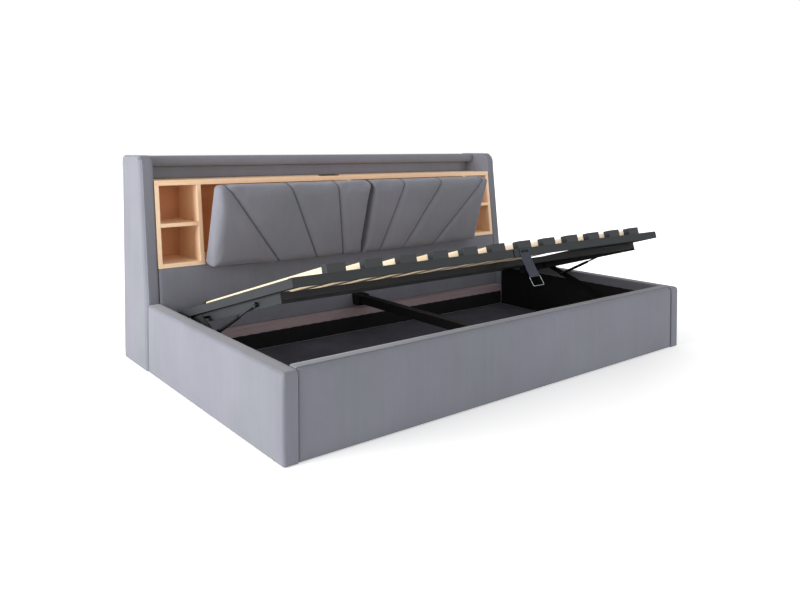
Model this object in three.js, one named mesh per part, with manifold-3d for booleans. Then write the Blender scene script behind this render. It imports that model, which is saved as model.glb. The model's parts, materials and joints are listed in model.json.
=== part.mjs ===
// Upholstered bed whose headboard stands along the long side of the mattress.
// Units are millimetres, +Z is up, +X runs along the headboard and -Y is the open front of the bed.
// The bed is drawn as it is photographed: slatted platform half lifted, headboard flaps tipped forward.

import * as THREE from 'three';
import { mergeVertices } from 'three/addons/utils/BufferGeometryUtils.js';
import Module from 'manifold-3d';

const wasm = await Module();
wasm.setup();

// Driving dimensions of the whole bed
const bedDepth = 1449;
const innerLength = 2000;
const seamGap = 0.3;
const overrun = 6;
const glideHeight = 6;
const railThickness = 60;
const railHeight = 280;
const railSetback = 3;
const footThickness = 65;
const footHeight = 288;
const padRound = 12;

// Headboard
const wingHeight = 905;
const wingBaseDepth = 299;
const wingTopDepth = 227;
const wingSlopeStart = 289;
const wingCorner = 52;
const headerHeight = 48;
const headerDepth = 96;
const headerDrop = 3;
const headerRound = 10;
const backPanelThickness = 18;
const recessPanelThickness = 12;
const recessBehindHeader = 67;
const recessHeight = 57;
const shelfThickness = 22;
const boardThickness = 18;
const carcassBackThickness = 12;
const cubbyWidth = 205;
const carcassHeight = 350;
const dividerThickness = 16;
const dividerRise = 172;
const lowerPanelThickness = 50;
const ledgeHeight = 135;
const ledgeThickness = 55;
const ledgeStep = 38;
const floorThickness = 12;
const floorClearance = 6;

// Flaps in front of the long compartments
const flapBoardThickness = 12;
const flapCushionThickness = 58;
const flapMiddleGap = 4;
const flapSideGap = 1;
const flapAxisDrop = 8;
const flapAxisToFront = 6.5;
const flapLeanDegrees = 16;
const flapFoot = 7;

// Slatted platform, lying level at rail height when shut
const platformLength = 1960;
const platformBehindGap = 53;
const platformTop = 263;
const platformFromFoot = 72;
const frameWidth = 30;
const frameHeight = 30;
const frameWall = 2;
const slatCount = 12;
const slatPitch = 148;
const slatWidth = 63;
const slatThickness = 23;

// Lifting gear: arm on a fixed plate, platform on the arm, gas strut between the two
const armPivotFromHead = 735;
const armPivotHeight = 118;
const armTurnDegrees = 14.2;
const liftTiltDegrees = 16.3;
const carrierPinFromRear = 327;
const carrierPinDrop = 50;
const strutPinShare = 0.217;
const strutFootAhead = 215;
const strutFootRise = 146;
const armElbowBehind = 13;
const armElbowRise = 68;

const radians = THREE.MathUtils.degToRad;

// Finishes
function finish(colour, roughness, metalness = 0) {
  return new THREE.MeshStandardMaterial({ color: colour, roughness, metalness });
}
const velvet = finish(0x8c8c96, 0.85);
const shadedVelvet = finish(0x5c5b61, 0.9);
const beech = finish(0xe3c4a0, 0.55);
const slatWood = finish(0xf2dfc4, 0.5);
const rawBoard = finish(0x6e5d5e, 0.8);
const lining = finish(0x26272b, 0.9);
const darkSteel = finish(0x3f454b, 0.45, 0.6);
const blackSteel = finish(0x17181a, 0.4, 0.6);
const brightSteel = finish(0xb9bcc0, 0.25, 0.9);
const blackPlastic = finish(0x202226, 0.5);
const greyPlastic = finish(0x474c52, 0.55);
const webbing = finish(0x4a4b55, 0.9);

// Solids
function solidOf(geometry) {
  const bare = geometry.clone();
  bare.deleteAttribute('normal');
  bare.deleteAttribute('uv');
  const merged = mergeVertices(bare, 1e-4);
  return new wasm.Manifold(new wasm.Mesh({
    numProp: 3,
    vertProperties: new Float32Array(merged.attributes.position.array),
    triVerts: new Uint32Array(merged.index.array),
  }));
}

function geometryOf(solid) {
  const mesh = solid.getMesh();
  const geometry = new THREE.BufferGeometry();
  geometry.setAttribute('position', new THREE.BufferAttribute(new Float32Array(mesh.vertProperties), 3));
  geometry.setIndex(new THREE.BufferAttribute(new Uint32Array(mesh.triVerts), 1));
  return geometry;
}

function join(first, ...others) {
  return geometryOf(others.reduce((sum, next) => sum.add(solidOf(next)), solidOf(first)));
}

function cut(body, ...tools) {
  return geometryOf(tools.reduce((left, tool) => left.subtract(solidOf(tool)), solidOf(body)));
}

function blockBetween(low, high) {
  const size = high.map((value, i) => value - low[i]);
  const middle = high.map((value, i) => (value + low[i]) / 2);
  return new THREE.BoxGeometry(...size).translate(...middle);
}

// A bar or pin along X between two planes
function rodAlongX(radius, fromX, toX, y, z, sides) {
  const rod = new THREE.CylinderGeometry(radius, radius, Math.abs(toX - fromX), sides);
  return rod.rotateZ(Math.PI / 2).translate((fromX + toX) / 2, y, z);
}

const acrossX = new THREE.Matrix4().makeBasis(
  new THREE.Vector3(0, 1, 0), new THREE.Vector3(0, 0, 1), new THREE.Vector3(1, 0, 0));
const acrossY = new THREE.Matrix4().makeBasis(
  new THREE.Vector3(1, 0, 0), new THREE.Vector3(0, 0, 1), new THREE.Vector3(0, -1, 0));

function sideProfile(points) {
  return new THREE.Shape(points.map(([y, z]) => new THREE.Vector2(y, z)));
}

// A side profile drawn in Y and Z, given thickness between two X planes
function slabAcrossX(shape, fromX, toX, round = 0, curveSegments = 6) {
  const slab = new THREE.ExtrudeGeometry(shape, {
    depth: toX - fromX - 2 * round,
    curveSegments,
    bevelEnabled: round > 0,
    bevelThickness: round,
    bevelSize: round,
    bevelOffset: -round,
    bevelSegments: 3,
  });
  return slab.applyMatrix4(acrossX).translate(fromX + round, 0, 0);
}

// A front profile drawn in X and Z, given thickness between two Y planes
function slabAcrossY(shape, fromY, toY, round = 0) {
  const slab = new THREE.ExtrudeGeometry(shape, {
    depth: toY - fromY - 2 * round,
    curveSegments: 5,
    bevelEnabled: round > 0,
    bevelThickness: round,
    bevelSize: round,
    bevelOffset: -round,
    bevelSegments: 3,
  });
  return slab.applyMatrix4(acrossY).translate(0, toY - round, 0);
}

function roundedRectangle(left, bottom, right, top, corner) {
  const outline = new THREE.Shape();
  outline.moveTo(left + corner, bottom);
  outline.lineTo(right - corner, bottom);
  outline.absarc(right - corner, bottom + corner, corner, -Math.PI / 2, 0, false);
  outline.lineTo(right, top - corner);
  outline.absarc(right - corner, top - corner, corner, 0, Math.PI / 2, false);
  outline.lineTo(left + corner, top);
  outline.absarc(left + corner, top - corner, corner, Math.PI / 2, Math.PI, false);
  outline.lineTo(left, bottom + corner);
  outline.absarc(left + corner, bottom + corner, corner, Math.PI, 1.5 * Math.PI, false);
  return outline;
}

const model = new THREE.Group();
const bed = new THREE.Group();
bed.position.y = -bedDepth / 2;
model.add(bed);

function place(group, name, geometry, material) {
  const piece = new THREE.Mesh(geometry, material);
  piece.name = name;
  group.add(piece);
  return piece;
}

const sides = [['left', -1], ['right', 1]];

// Puts a pair of X planes, given for the right-hand side, on either side
function mirrored(side, nearX, farX) {
  return side > 0 ? [nearX, farX] : [-farX, -nearX];
}

// Box: two side rails, the footboard between them and low glides
const innerHalf = innerLength / 2;
const outerHalf = innerHalf + railThickness;
const wingFront = bedDepth - wingBaseDepth;
const railCorner = 18;
for (const [label, side] of sides) {
  const [near, far] = mirrored(side, innerHalf, outerHalf);
  const railOutline = roundedRectangle(railSetback, glideHeight, wingFront - seamGap, railHeight, railCorner);
  place(bed, `side_rail_${label}`, slabAcrossX(railOutline, near, far, padRound), velvet);
}
const panelHalf = innerHalf - seamGap;
const footOutline = roundedRectangle(-panelHalf, glideHeight, panelHalf, footHeight, railCorner);
place(bed, 'footboard', slabAcrossY(footOutline, 0, footThickness, padRound), velvet);

const glideRadius = 20;
const glideInset = 70;
const glideSides = 16;
for (const [end, fromFoot] of [['front', glideInset], ['rear', bedDepth - glideInset]]) {
  for (const [label, side] of sides) {
    const glide = new THREE.CylinderGeometry(glideRadius, glideRadius, glideHeight - seamGap, glideSides);
    glide.rotateX(Math.PI / 2).translate(0, 0, (glideHeight - seamGap) / 2);
    const piece = place(bed, `glide_${end}_${label}`, glide, blackPlastic);
    piece.position.set(side * (innerHalf + railThickness / 2), fromFoot, 0);
  }
}

// Storage floor, with the ledge board along its back and the beam down its middle
const floorBottom = glideHeight + floorClearance;
const floorTop = floorBottom + floorThickness;
const headSlope = (wingBaseDepth - wingTopDepth) / (wingHeight - wingSlopeStart);
const headLean = Math.atan(headSlope);
function frontPlane(z) {
  return wingFront + (z - wingSlopeStart) * headSlope;
}
const boxFront = footThickness + seamGap;
const ledgeFront = frontPlane(ledgeHeight) - ledgeStep;
const ledgeBack = ledgeFront + ledgeThickness;
place(bed, 'storage_floor', blockBetween(
  [-panelHalf, boxFront, floorBottom], [panelHalf, ledgeBack, floorTop]), lining);
place(bed, 'back_ledge', blockBetween(
  [-panelHalf, ledgeFront, floorTop + seamGap], [panelHalf, ledgeBack, ledgeHeight]), rawBoard);

const beamWidth = 40;
const beamHeight = 40;
const beamWall = 2;
const beamTop = 200;
const beamShort = 14;
const beamEnd = frontPlane(beamTop) - beamShort;
function squareTube(width, height, wall, bottom) {
  const outline = new THREE.Shape([
    new THREE.Vector2(-width / 2, bottom),
    new THREE.Vector2(width / 2, bottom),
    new THREE.Vector2(width / 2, bottom + height),
    new THREE.Vector2(-width / 2, bottom + height),
  ]);
  outline.holes.push(new THREE.Path([
    new THREE.Vector2(-width / 2 + wall, bottom + wall),
    new THREE.Vector2(-width / 2 + wall, bottom + height - wall),
    new THREE.Vector2(width / 2 - wall, bottom + height - wall),
    new THREE.Vector2(width / 2 - wall, bottom + wall),
  ]));
  return outline;
}
place(bed, 'centre_beam', slabAcrossY(
  squareTube(beamWidth, beamHeight, beamWall, beamTop - beamHeight), boxFront, beamEnd), blackSteel);

const bracketSide = 12;
const bracketReach = 46;
const bracketSole = 8;
const bracketLip = 4;
const beamBottom = beamTop - beamHeight;
const bracketBottom = beamBottom - seamGap - bracketSole;
const bracketTop = beamTop + bracketLip;
const bracketProfile = sideProfile([
  [beamEnd - bracketReach, bracketBottom],
  [frontPlane(bracketBottom) - seamGap, bracketBottom],
  [frontPlane(bracketTop) - seamGap, bracketTop],
  [beamEnd - bracketReach, bracketTop],
]);
const bracketHalf = beamWidth / 2 + bracketSide;
place(bed, 'beam_bracket', cut(
  slabAcrossX(bracketProfile, -bracketHalf, bracketHalf),
  blockBetween(
    [-beamWidth / 2 - seamGap, beamEnd - bracketReach - overrun, beamBottom - seamGap],
    [beamWidth / 2 + seamGap, beamEnd + seamGap, bracketTop + overrun]),
), blackSteel);

// Headboard: wings, header, back and the panel below the compartments
function wingProfile() {
  const topFront = bedDepth - wingTopDepth;
  const turn = Math.PI / 2 - headLean;
  const tangent = wingCorner * Math.tan(turn / 2);
  const outline = new THREE.Shape();
  outline.moveTo(bedDepth, glideHeight);
  outline.lineTo(bedDepth, wingHeight - railCorner);
  outline.absarc(bedDepth - railCorner, wingHeight - railCorner, railCorner, 0, Math.PI / 2, false);
  outline.lineTo(topFront + tangent, wingHeight);
  outline.absarc(topFront + tangent, wingHeight - wingCorner, wingCorner,
    Math.PI / 2, Math.PI - headLean, false);
  outline.lineTo(wingFront, wingSlopeStart);
  outline.lineTo(wingFront, glideHeight);
  return outline;
}
const wingRound = 9;
for (const [label, side] of sides) {
  const [near, far] = mirrored(side, innerHalf, outerHalf);
  place(bed, `wing_${label}`, slabAcrossX(wingProfile(), near, far, wingRound, 9), velvet);
}

const backPanelFront = bedDepth - backPanelThickness;
const headerTop = wingHeight - headerDrop;
const headerBottom = headerTop - headerHeight;
const shelfTop = headerBottom - recessHeight;
const shelfBottom = shelfTop - shelfThickness;
const carcassBottom = shelfBottom - carcassHeight;
const headerBack = backPanelFront - seamGap;
const headerFront = headerBack - headerDepth;
place(bed, 'back_panel', blockBetween(
  [-panelHalf, backPanelFront, glideHeight], [panelHalf, bedDepth, headerTop]), velvet);
place(bed, 'header_rail', slabAcrossX(
  roundedRectangle(headerFront, headerBottom, headerBack, headerTop, headerRound),
  -panelHalf, panelHalf), velvet);
const recessFront = headerFront + recessBehindHeader;
place(bed, 'recess_panel', blockBetween(
  [-panelHalf, recessFront, shelfTop + seamGap],
  [panelHalf, recessFront + recessPanelThickness, headerBottom - seamGap]), shadedVelvet);

const lowerPanelTop = carcassBottom - seamGap;
const lowerPanelBottom = ledgeHeight + seamGap;
place(bed, 'lower_panel', slabAcrossX(sideProfile([
  [frontPlane(lowerPanelBottom), lowerPanelBottom],
  [frontPlane(lowerPanelBottom) + lowerPanelThickness, lowerPanelBottom],
  [frontPlane(lowerPanelTop) + lowerPanelThickness, lowerPanelTop],
  [frontPlane(lowerPanelTop), lowerPanelTop],
]), -panelHalf, panelHalf), velvet);

// Wooden carcass: shelf, two cubbies and the long compartment behind the flaps
const socketWidth = 96;
const socketDepth = 44;
const socketRise = 5;
const socketSink = 14;
const socketFromLeft = 850;
const socketBehindEdge = 14;
const shelfFront = frontPlane(shelfBottom + shelfThickness / 2);
const carcassTop = shelfBottom - seamGap;
const carcassBack = backPanelFront - seamGap;
const carcassInner = carcassBack - carcassBackThickness;
const boardBack = carcassInner - seamGap;
const socketLeft = -innerHalf + socketFromLeft;
const socketFront = shelfFront + socketBehindEdge;
const socketHole = blockBetween(
  [socketLeft, socketFront, shelfTop - socketSink],
  [socketLeft + socketWidth, socketFront + socketDepth, shelfTop + overrun]);
place(bed, 'shelf_board', cut(blockBetween(
  [-panelHalf, shelfFront, shelfBottom], [panelHalf, carcassBack, shelfTop]), socketHole), beech);
place(bed, 'socket_module', blockBetween(
  [socketLeft + seamGap, socketFront + seamGap, shelfTop - socketSink + seamGap],
  [socketLeft + socketWidth - seamGap, socketFront + socketDepth - seamGap, shelfTop + socketRise]),
blackPlastic);
place(bed, 'carcass_back', blockBetween(
  [-panelHalf, carcassInner, carcassBottom], [panelHalf, carcassBack, carcassTop]), beech);

// A board or box whose front edge follows the leaning front of the headboard
function leaningProfile(bottom, top) {
  return sideProfile([
    [frontPlane(bottom), bottom], [boardBack, bottom], [boardBack, top], [frontPlane(top), top],
  ]);
}
const cubbyInner = panelHalf - cubbyWidth;
const dividerHeight = carcassBottom + dividerRise;
const dividerTop = dividerHeight + dividerThickness;
for (const [label, side] of sides) {
  const [near, far] = mirrored(side, cubbyInner, panelHalf);
  const hollow = blockBetween(
    [near + boardThickness, frontPlane(carcassBottom) - overrun, carcassBottom + boardThickness],
    [far - boardThickness, bedDepth, carcassTop + overrun]);
  const carcass = slabAcrossX(leaningProfile(carcassBottom, carcassTop), near, far);
  place(bed, `cubby_${label}`, cut(carcass, hollow), beech);
  place(bed, `cubby_divider_${label}`, slabAcrossX(
    leaningProfile(dividerHeight, dividerTop),
    near + boardThickness + seamGap, far - boardThickness - seamGap), beech);
}
const compartmentHalf = cubbyInner - seamGap;
place(bed, 'compartment_board', slabAcrossX(
  leaningProfile(carcassBottom, carcassBottom + boardThickness),
  -compartmentHalf, compartmentHalf), beech);
place(bed, 'compartment_partition', slabAcrossX(
  leaningProfile(carcassBottom + boardThickness + seamGap, carcassTop),
  -boardThickness / 2, boardThickness / 2), beech);

// Flaps: a board on a long hinge, with a channelled cushion in front of it
const flapAxisHeight = carcassBottom - flapAxisDrop;
const flapAxisDepth = frontPlane(flapAxisHeight) - flapAxisToFront / Math.cos(headLean);
const flapHeight = (shelfBottom + shelfThickness / 2 - flapAxisHeight) / Math.cos(headLean);
const flapInnerEdge = flapMiddleGap / 2;
const flapOuterEdge = compartmentHalf - flapSideGap;
const knuckleRadius = 5;
const knuckleLength = 70;
const knuckleSpacing = 1;
const knuckleSides = 12;
const pinRadius = 2;
const pinPlay = 0.6;
const leafThickness = 1.3;
const leafHeight = 24;
const leafBack = flapAxisToFront - seamGap;
const flapBoardBack = 3.5;
const knuckleShares = [0.05, 0.5, 0.95];

// A knuckle of the hinge: a barrel, with the lug that ties it to its leaf or board
function knuckle(fromX, lugFrontY, lugBackY, lugTop) {
  const barrel = rodAlongX(knuckleRadius, fromX, fromX + knuckleLength, 0, 0, knuckleSides);
  const lug = blockBetween([fromX, lugFrontY, 0], [fromX + knuckleLength, lugBackY, lugTop]);
  return join(barrel, lug);
}

function hingeLeaf(fromX, toX) {
  const leaf = blockBetween([fromX, leafBack - leafThickness, knuckleRadius], [toX, leafBack, leafHeight]);
  const pin = rodAlongX(pinRadius, fromX, toX, 0, 0, knuckleSides);
  const starts = knuckleShares.map((share) => fromX + share * (toX - fromX - knuckleLength));
  const knuckles = starts.map((start) => knuckle(start, 0, leafBack, knuckleRadius + leafThickness));
  return join(leaf, pin, ...knuckles);
}

function flapBoard(fromX, toX) {
  const board = blockBetween(
    [fromX, flapBoardBack - flapBoardThickness, flapFoot], [toX, flapBoardBack, flapHeight]);
  const starts = knuckleShares.map((share) => fromX + share * (toX - fromX - knuckleLength));
  const ownStarts = starts.slice(0, 2).map((start) => start + knuckleLength + knuckleSpacing);
  const barrels = ownStarts.map((start) => knuckle(
    start, -knuckleRadius, flapBoardBack, flapFoot + pinRadius));
  const bore = rodAlongX(pinRadius + pinPlay, fromX - overrun, toX + overrun, 0, 0, knuckleSides);
  return cut(join(board, ...barrels), bore);
}

// Closed body between two equal grids of points, front and back
function bodyBetween(front, back) {
  const rows = front.length;
  const columns = front[0].length;
  const positions = [];
  for (const grid of [front, back]) {
    grid.forEach((row) => row.forEach((point) => positions.push(...point)));
  }
  const at = (layer, i, j) => layer * rows * columns + i * columns + j;
  const faces = [];
  for (let i = 0; i < rows - 1; i += 1) {
    for (let j = 0; j < columns - 1; j += 1) {
      const [a, b, c, d] = [at(0, i, j), at(0, i, j + 1), at(0, i + 1, j + 1), at(0, i + 1, j)];
      faces.push(a, b, c, a, c, d);
      const [e, f, g, h] = [at(1, i, j), at(1, i, j + 1), at(1, i + 1, j + 1), at(1, i + 1, j)];
      faces.push(e, g, f, e, h, g);
    }
  }
  const rim = [];
  for (let j = 0; j < columns - 1; j += 1) rim.push([0, j]);
  for (let i = 0; i < rows - 1; i += 1) rim.push([i, columns - 1]);
  for (let j = columns - 1; j > 0; j -= 1) rim.push([rows - 1, j]);
  for (let i = rows - 1; i > 0; i -= 1) rim.push([i, 0]);
  rim.forEach(([i, j], k) => {
    const [m, n] = rim[(k + 1) % rim.length];
    const [a, b, c, d] = [at(0, i, j), at(0, m, n), at(1, m, n), at(1, i, j)];
    faces.push(a, c, b, a, d, c);
  });
  const geometry = new THREE.BufferGeometry();
  geometry.setAttribute('position', new THREE.Float32BufferAttribute(positions, 3));
  geometry.setIndex(faces);
  return geometry;
}

// Flap cushion: boxed foam with a rounded front edge, a low crown and three sewn channels
// that fan out from the middle of the bed; seen as a grid whose columns follow the channels
const cushionRound = 30;
const cushionSide = 16;
const cushionCrown = 5;
const cushionDrawIn = 4;
const channelDepth = 9;
const channelHalfWidth = 7;
const channelNotch = 3;
const cushionFoot = 4;
const channelTopShares = [0.252, 0.567, 0.945];
const channelFootShares = [0.135, 0.322, 0.575];
const edgeShares = [0, 0.12, 0.45, 1];
const rowShares = [0.3, 0.5, 0.7];

function roundOver(distance) {
  const share = Math.min(1, distance / cushionRound);
  return Math.sqrt(1 - (1 - share) ** 2);
}

function flapCushion(side) {
  const width = flapOuterEdge - flapInnerEdge;
  const height = flapHeight - cushionFoot;
  const crownThickness = flapCushionThickness - cushionCrown;
  const nearEdge = edgeShares.map((share) => share * cushionRound);
  const farEdge = edgeShares.map((share) => width - share * cushionRound).reverse();
  const columns = nearEdge.map((x) => ({ top: x, foot: x, channel: 0 }));
  channelTopShares.forEach((topShare, k) => {
    const top = Math.min(topShare * width, width - cushionRound - channelHalfWidth * 2);
    const foot = channelFootShares[k] * width;
    const last = columns[columns.length - 1];
    columns.push({ top: (last.top + top) / 2, foot: (last.foot + foot) / 2, channel: 0 });
    for (const [step, channel] of [[-1, 0], [0, 1], [1, 0]]) {
      columns.push({
        top: top + step * channelHalfWidth, foot: foot + step * channelHalfWidth, channel,
      });
    }
  });
  const last = columns[columns.length - 1];
  columns.push({ top: (last.top + farEdge[0]) / 2, foot: (last.foot + farEdge[0]) / 2, channel: 0 });
  farEdge.forEach((x) => columns.push({ top: x, foot: x, channel: 0 }));
  const rows = [
    ...nearEdge,
    ...rowShares.map((share) => share * height),
    ...edgeShares.map((share) => height - share * cushionRound).reverse(),
  ];
  const backY = flapBoardBack - flapBoardThickness - seamGap;
  const front = [];
  const back = [];
  for (const z of rows) {
    const rise = z / height;
    const frontRow = [];
    const backRow = [];
    for (const { top, foot, channel } of columns) {
      const x = foot + (top - foot) * rise;
      const across = x / width;
      const drawn = cushionDrawIn * Math.sin(Math.PI * rise) * (1 - 2 * across) ** 9;
      const notch = channel * channelNotch * (Math.abs(2 * rise - 1)) ** 6 * Math.sign(0.5 - rise);
      const over = roundOver(Math.min(x, width - x)) * roundOver(Math.min(z, height - z));
      const thickness = cushionSide + (crownThickness - cushionSide) * over
        + cushionCrown * Math.sin(Math.PI * rise) * Math.sin(Math.PI * across)
        - channel * channelDepth * (0.35 + 0.65 * over);
      const px = side * (flapInnerEdge + x + drawn);
      const pz = cushionFoot + z + notch;
      frontRow.push([px, backY - thickness, pz]);
      backRow.push([px, backY, pz]);
    }
    front.push(side > 0 ? frontRow : frontRow.reverse());
    back.push(side > 0 ? backRow : backRow.reverse());
  }
  return bodyBetween(front, back);
}

const hingeGroup = new THREE.Group();
hingeGroup.position.set(0, flapAxisDepth, flapAxisHeight);
hingeGroup.rotation.x = -headLean;
bed.add(hingeGroup);
const flapGroup = new THREE.Group();
flapGroup.position.copy(hingeGroup.position);
flapGroup.rotation.x = radians(flapLeanDegrees);
bed.add(flapGroup);
for (const [label, side] of sides) {
  const [near, far] = mirrored(side, flapInnerEdge, flapOuterEdge);
  place(hingeGroup, `flap_hinge_${label}`, hingeLeaf(near, far), brightSteel);
  place(flapGroup, `flap_board_${label}`, flapBoard(near, far), beech);
  place(flapGroup, `flap_cushion_${label}`, flapCushion(side), velvet);
}

// Lifting gear: the platform turns on pins in the ends of two arms
const liftTilt = radians(liftTiltDegrees);
const armTurn = radians(armTurnDegrees);
const platformDepth = wingFront - platformFromFoot - platformBehindGap;
const carrierPinFromFront = platformDepth - carrierPinFromRear;
const armPivot = new THREE.Vector2(wingFront - armPivotFromHead, armPivotHeight);
const origin = new THREE.Vector2();
const carrierShut = new THREE.Vector2(platformFromFoot + carrierPinFromFront, platformTop - carrierPinDrop);
const carrierPin = carrierShut.clone().rotateAround(armPivot, armTurn);

// Platform: pieces are drawn level, Y from its front edge and Z from its frame's top, about the carrier pin
const platform = new THREE.Group();
platform.position.set(0, carrierPin.x, carrierPin.y);
platform.rotation.x = -liftTilt;
bed.add(platform);
const deck = new THREE.Group();
deck.position.set(0, -carrierPinFromFront, carrierPinDrop);
platform.add(deck);

const platformHalf = platformLength / 2;
const jointWidth = 6;
const jointDepth = 3;

function ringBlock(half, from, to, wall, bottom, top) {
  const outer = blockBetween([-half, from, bottom], [half, to, top]);
  const hole = blockBetween(
    [-half + wall, from + wall, bottom - overrun], [half - wall, to - wall, top + overrun]);
  return cut(outer, hole);
}
const frameRing = ringBlock(platformHalf, 0, platformDepth, frameWidth, -frameHeight, 0);
const frameHollow = ringBlock(platformHalf - frameWall, frameWall, platformDepth - frameWall,
  frameWidth - 2 * frameWall, -frameHeight - overrun, -frameWall);
const jointNotches = [-overrun, platformDepth - jointDepth].map((from) => blockBetween(
  [-jointWidth / 2, from, -frameHeight - overrun],
  [jointWidth / 2, from + jointDepth + overrun, overrun]));
place(deck, 'platform_frame', cut(frameRing, frameHollow, ...jointNotches), darkSteel);

const liftBeamInset = 18;
const liftBeamHeight = 36;
const liftBeamFlange = 38;
const liftBeamWall = 3;
const liftBeamFront = 120;
const liftBeamShort = 145;
const liftBeamBack = platformDepth - liftBeamShort;
const strutPinFromFront = liftBeamFront + strutPinShare * (liftBeamBack - liftBeamFront);
const strutStudRadius = 4;
const carrierPinRadius = 5;
const pinClearance = 0.4;
const beamTopLevel = -frameHeight - seamGap;
const beamOuter = platformHalf - liftBeamInset;
const armThickness = 4;
const armPlay = 4;
const plateThickness = 3;
const plateOuter = innerHalf - seamGap;
const plateInner = plateOuter - plateThickness;
const armOuter = plateInner - seamGap * 2;
const armInner = armOuter - armThickness;
const strutRadius = 7;
const strutEyeThickness = 10;
const strutHeadThickness = 2;
const strutMiddle = beamOuter + strutRadius + armPlay / 2;
const eyeNear = strutMiddle - strutEyeThickness / 2;
const eyeFar = strutMiddle + strutEyeThickness / 2;

// Mirrors a geometry drawn on the right-hand side, for the left-hand piece
function handed(geometry, side) {
  if (side > 0) return geometry;
  const flipped = geometry.clone().scale(-1, 1, 1);
  const merged = mergeVertices(withPositionOnly(flipped), 1e-4);
  const index = merged.index.array;
  for (let i = 0; i < index.length; i += 3) {
    [index[i], index[i + 1]] = [index[i + 1], index[i]];
  }
  return merged;
}

function withPositionOnly(geometry) {
  geometry.deleteAttribute('normal');
  geometry.deleteAttribute('uv');
  return geometry;
}

function liftBeam() {
  const upright = blockBetween(
    [beamOuter - liftBeamWall, liftBeamFront, beamTopLevel - liftBeamHeight],
    [beamOuter, liftBeamBack, beamTopLevel]);
  const flange = blockBetween(
    [beamOuter - liftBeamFlange, liftBeamFront, beamTopLevel - liftBeamWall],
    [beamOuter, liftBeamBack, beamTopLevel]);
  const stud = rodAlongX(strutStudRadius, beamOuter - liftBeamWall / 2, eyeFar + strutHeadThickness,
    strutPinFromFront, -carrierPinDrop, glideSides);
  const hole = rodAlongX(carrierPinRadius + pinClearance, beamOuter - liftBeamWall - overrun,
    beamOuter + overrun, carrierPinFromFront, -carrierPinDrop, glideSides);
  return cut(join(upright, flange, stud), hole);
}
const crossbarWidth = 25;
const crossbarHeight = 24;
const crossbarWall = 2;
const crossbarTop = beamTopLevel - liftBeamWall - seamGap;
const crossbarHalf = beamOuter - liftBeamWall - seamGap;
for (const [label, side] of sides) {
  place(deck, `lift_beam_${label}`, handed(liftBeam(), side), darkSteel);
}
const crossbarProfile = sideProfile([
  [liftBeamFront, crossbarTop - crossbarHeight],
  [liftBeamFront + crossbarWidth, crossbarTop - crossbarHeight],
  [liftBeamFront + crossbarWidth, crossbarTop],
  [liftBeamFront, crossbarTop],
]);
crossbarProfile.holes.push(new THREE.Path([
  new THREE.Vector2(liftBeamFront + crossbarWall, crossbarTop - crossbarHeight + crossbarWall),
  new THREE.Vector2(liftBeamFront + crossbarWall, crossbarTop - crossbarWall),
  new THREE.Vector2(liftBeamFront + crossbarWidth - crossbarWall, crossbarTop - crossbarWall),
  new THREE.Vector2(
    liftBeamFront + crossbarWidth - crossbarWall, crossbarTop - crossbarHeight + crossbarWall),
]));
place(deck, 'crossbar', slabAcrossX(crossbarProfile, -crossbarHalf, crossbarHalf), blackSteel);

// Slat holders: twelve moulded end caps on a thin strip along each long rail
const holderWidth = 73;
const holderHeight = 31;
const holderDepth = 31;
const holderStrip = 1.5;
const holderSetback = 2;
const slatEndInset = 4;
const slatSeat = 3.4;
const slatPlay = 0.4;
const slatEdge = 4;
const firstSlat = -((slatCount - 1) * slatPitch) / 2;
const slatPlaces = Array.from({ length: slatCount }, (_, i) => firstSlat + i * slatPitch);

function slatHolders(front) {
  const outer = front ? holderSetback : platformDepth - holderSetback;
  const inward = front ? 1 : -1;
  const span = (a, b) => [Math.min(a, b), Math.max(a, b)];
  const [stripFrom, stripTo] = span(outer, outer + inward * (frameWidth - 2 * holderSetback));
  const [blockFrom, blockTo] = span(outer, outer + inward * holderDepth);
  const [pocketFrom, pocketTo] = span(
    outer + inward * (slatEndInset - slatPlay), outer + inward * (holderDepth + overrun));
  const reach = platformHalf - holderSetback;
  const strip = blockBetween([-reach, stripFrom, seamGap], [reach, stripTo, seamGap + holderStrip]);
  const blocks = slatPlaces.map((x) => blockBetween(
    [x - holderWidth / 2, blockFrom, seamGap], [x + holderWidth / 2, blockTo, holderHeight]));
  const pockets = slatPlaces.map((x) => blockBetween(
    [x - slatWidth / 2 - slatPlay, pocketFrom, slatSeat - slatPlay],
    [x + slatWidth / 2 + slatPlay, pocketTo, slatSeat + slatThickness + slatPlay]));
  return cut(join(strip, ...blocks), ...pockets);
}
place(deck, 'slat_holders_front', slatHolders(true), greyPlastic);
place(deck, 'slat_holders_rear', slatHolders(false), greyPlastic);

// A slat: a straight board with eased long edges, its ends in the caps
const slatFrom = holderSetback + slatEndInset;
const slatTo = platformDepth - slatFrom;
slatPlaces.forEach((x, i) => {
  const label = String(i + 1).padStart(2, '0');
  const outline = roundedRectangle(
    x - slatWidth / 2, slatSeat, x + slatWidth / 2, slatSeat + slatThickness, slatEdge);
  place(deck, `slat_${label}`, slabAcrossY(outline, slatFrom, slatTo), slatWood);
});

// Pull strap: webbing screwed to the front rail, bending out and down to a wire ring
const strapFromMiddle = 60;
const strapWidth = 54;
const strapThickness = 3;
const strapTop = 1;
const strapStandoff = 0.6;
const ringWire = 3;
const ringHeight = 46;
const ringPlay = 1;
// How far each turn of the strap stands out and hangs down, as shares of the frame's height
const strapStraightShare = 0.9;
const strapHangShares = [[0.12, 1.5], [0.42, 2.6], [0.8, 3.7]];
const strapRoute = [
  [-strapStandoff, -strapTop],
  [-strapStandoff, -frameHeight * strapStraightShare],
  ...strapHangShares.map(([out, down]) => [-frameHeight * out, -frameHeight * down]),
];

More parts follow.
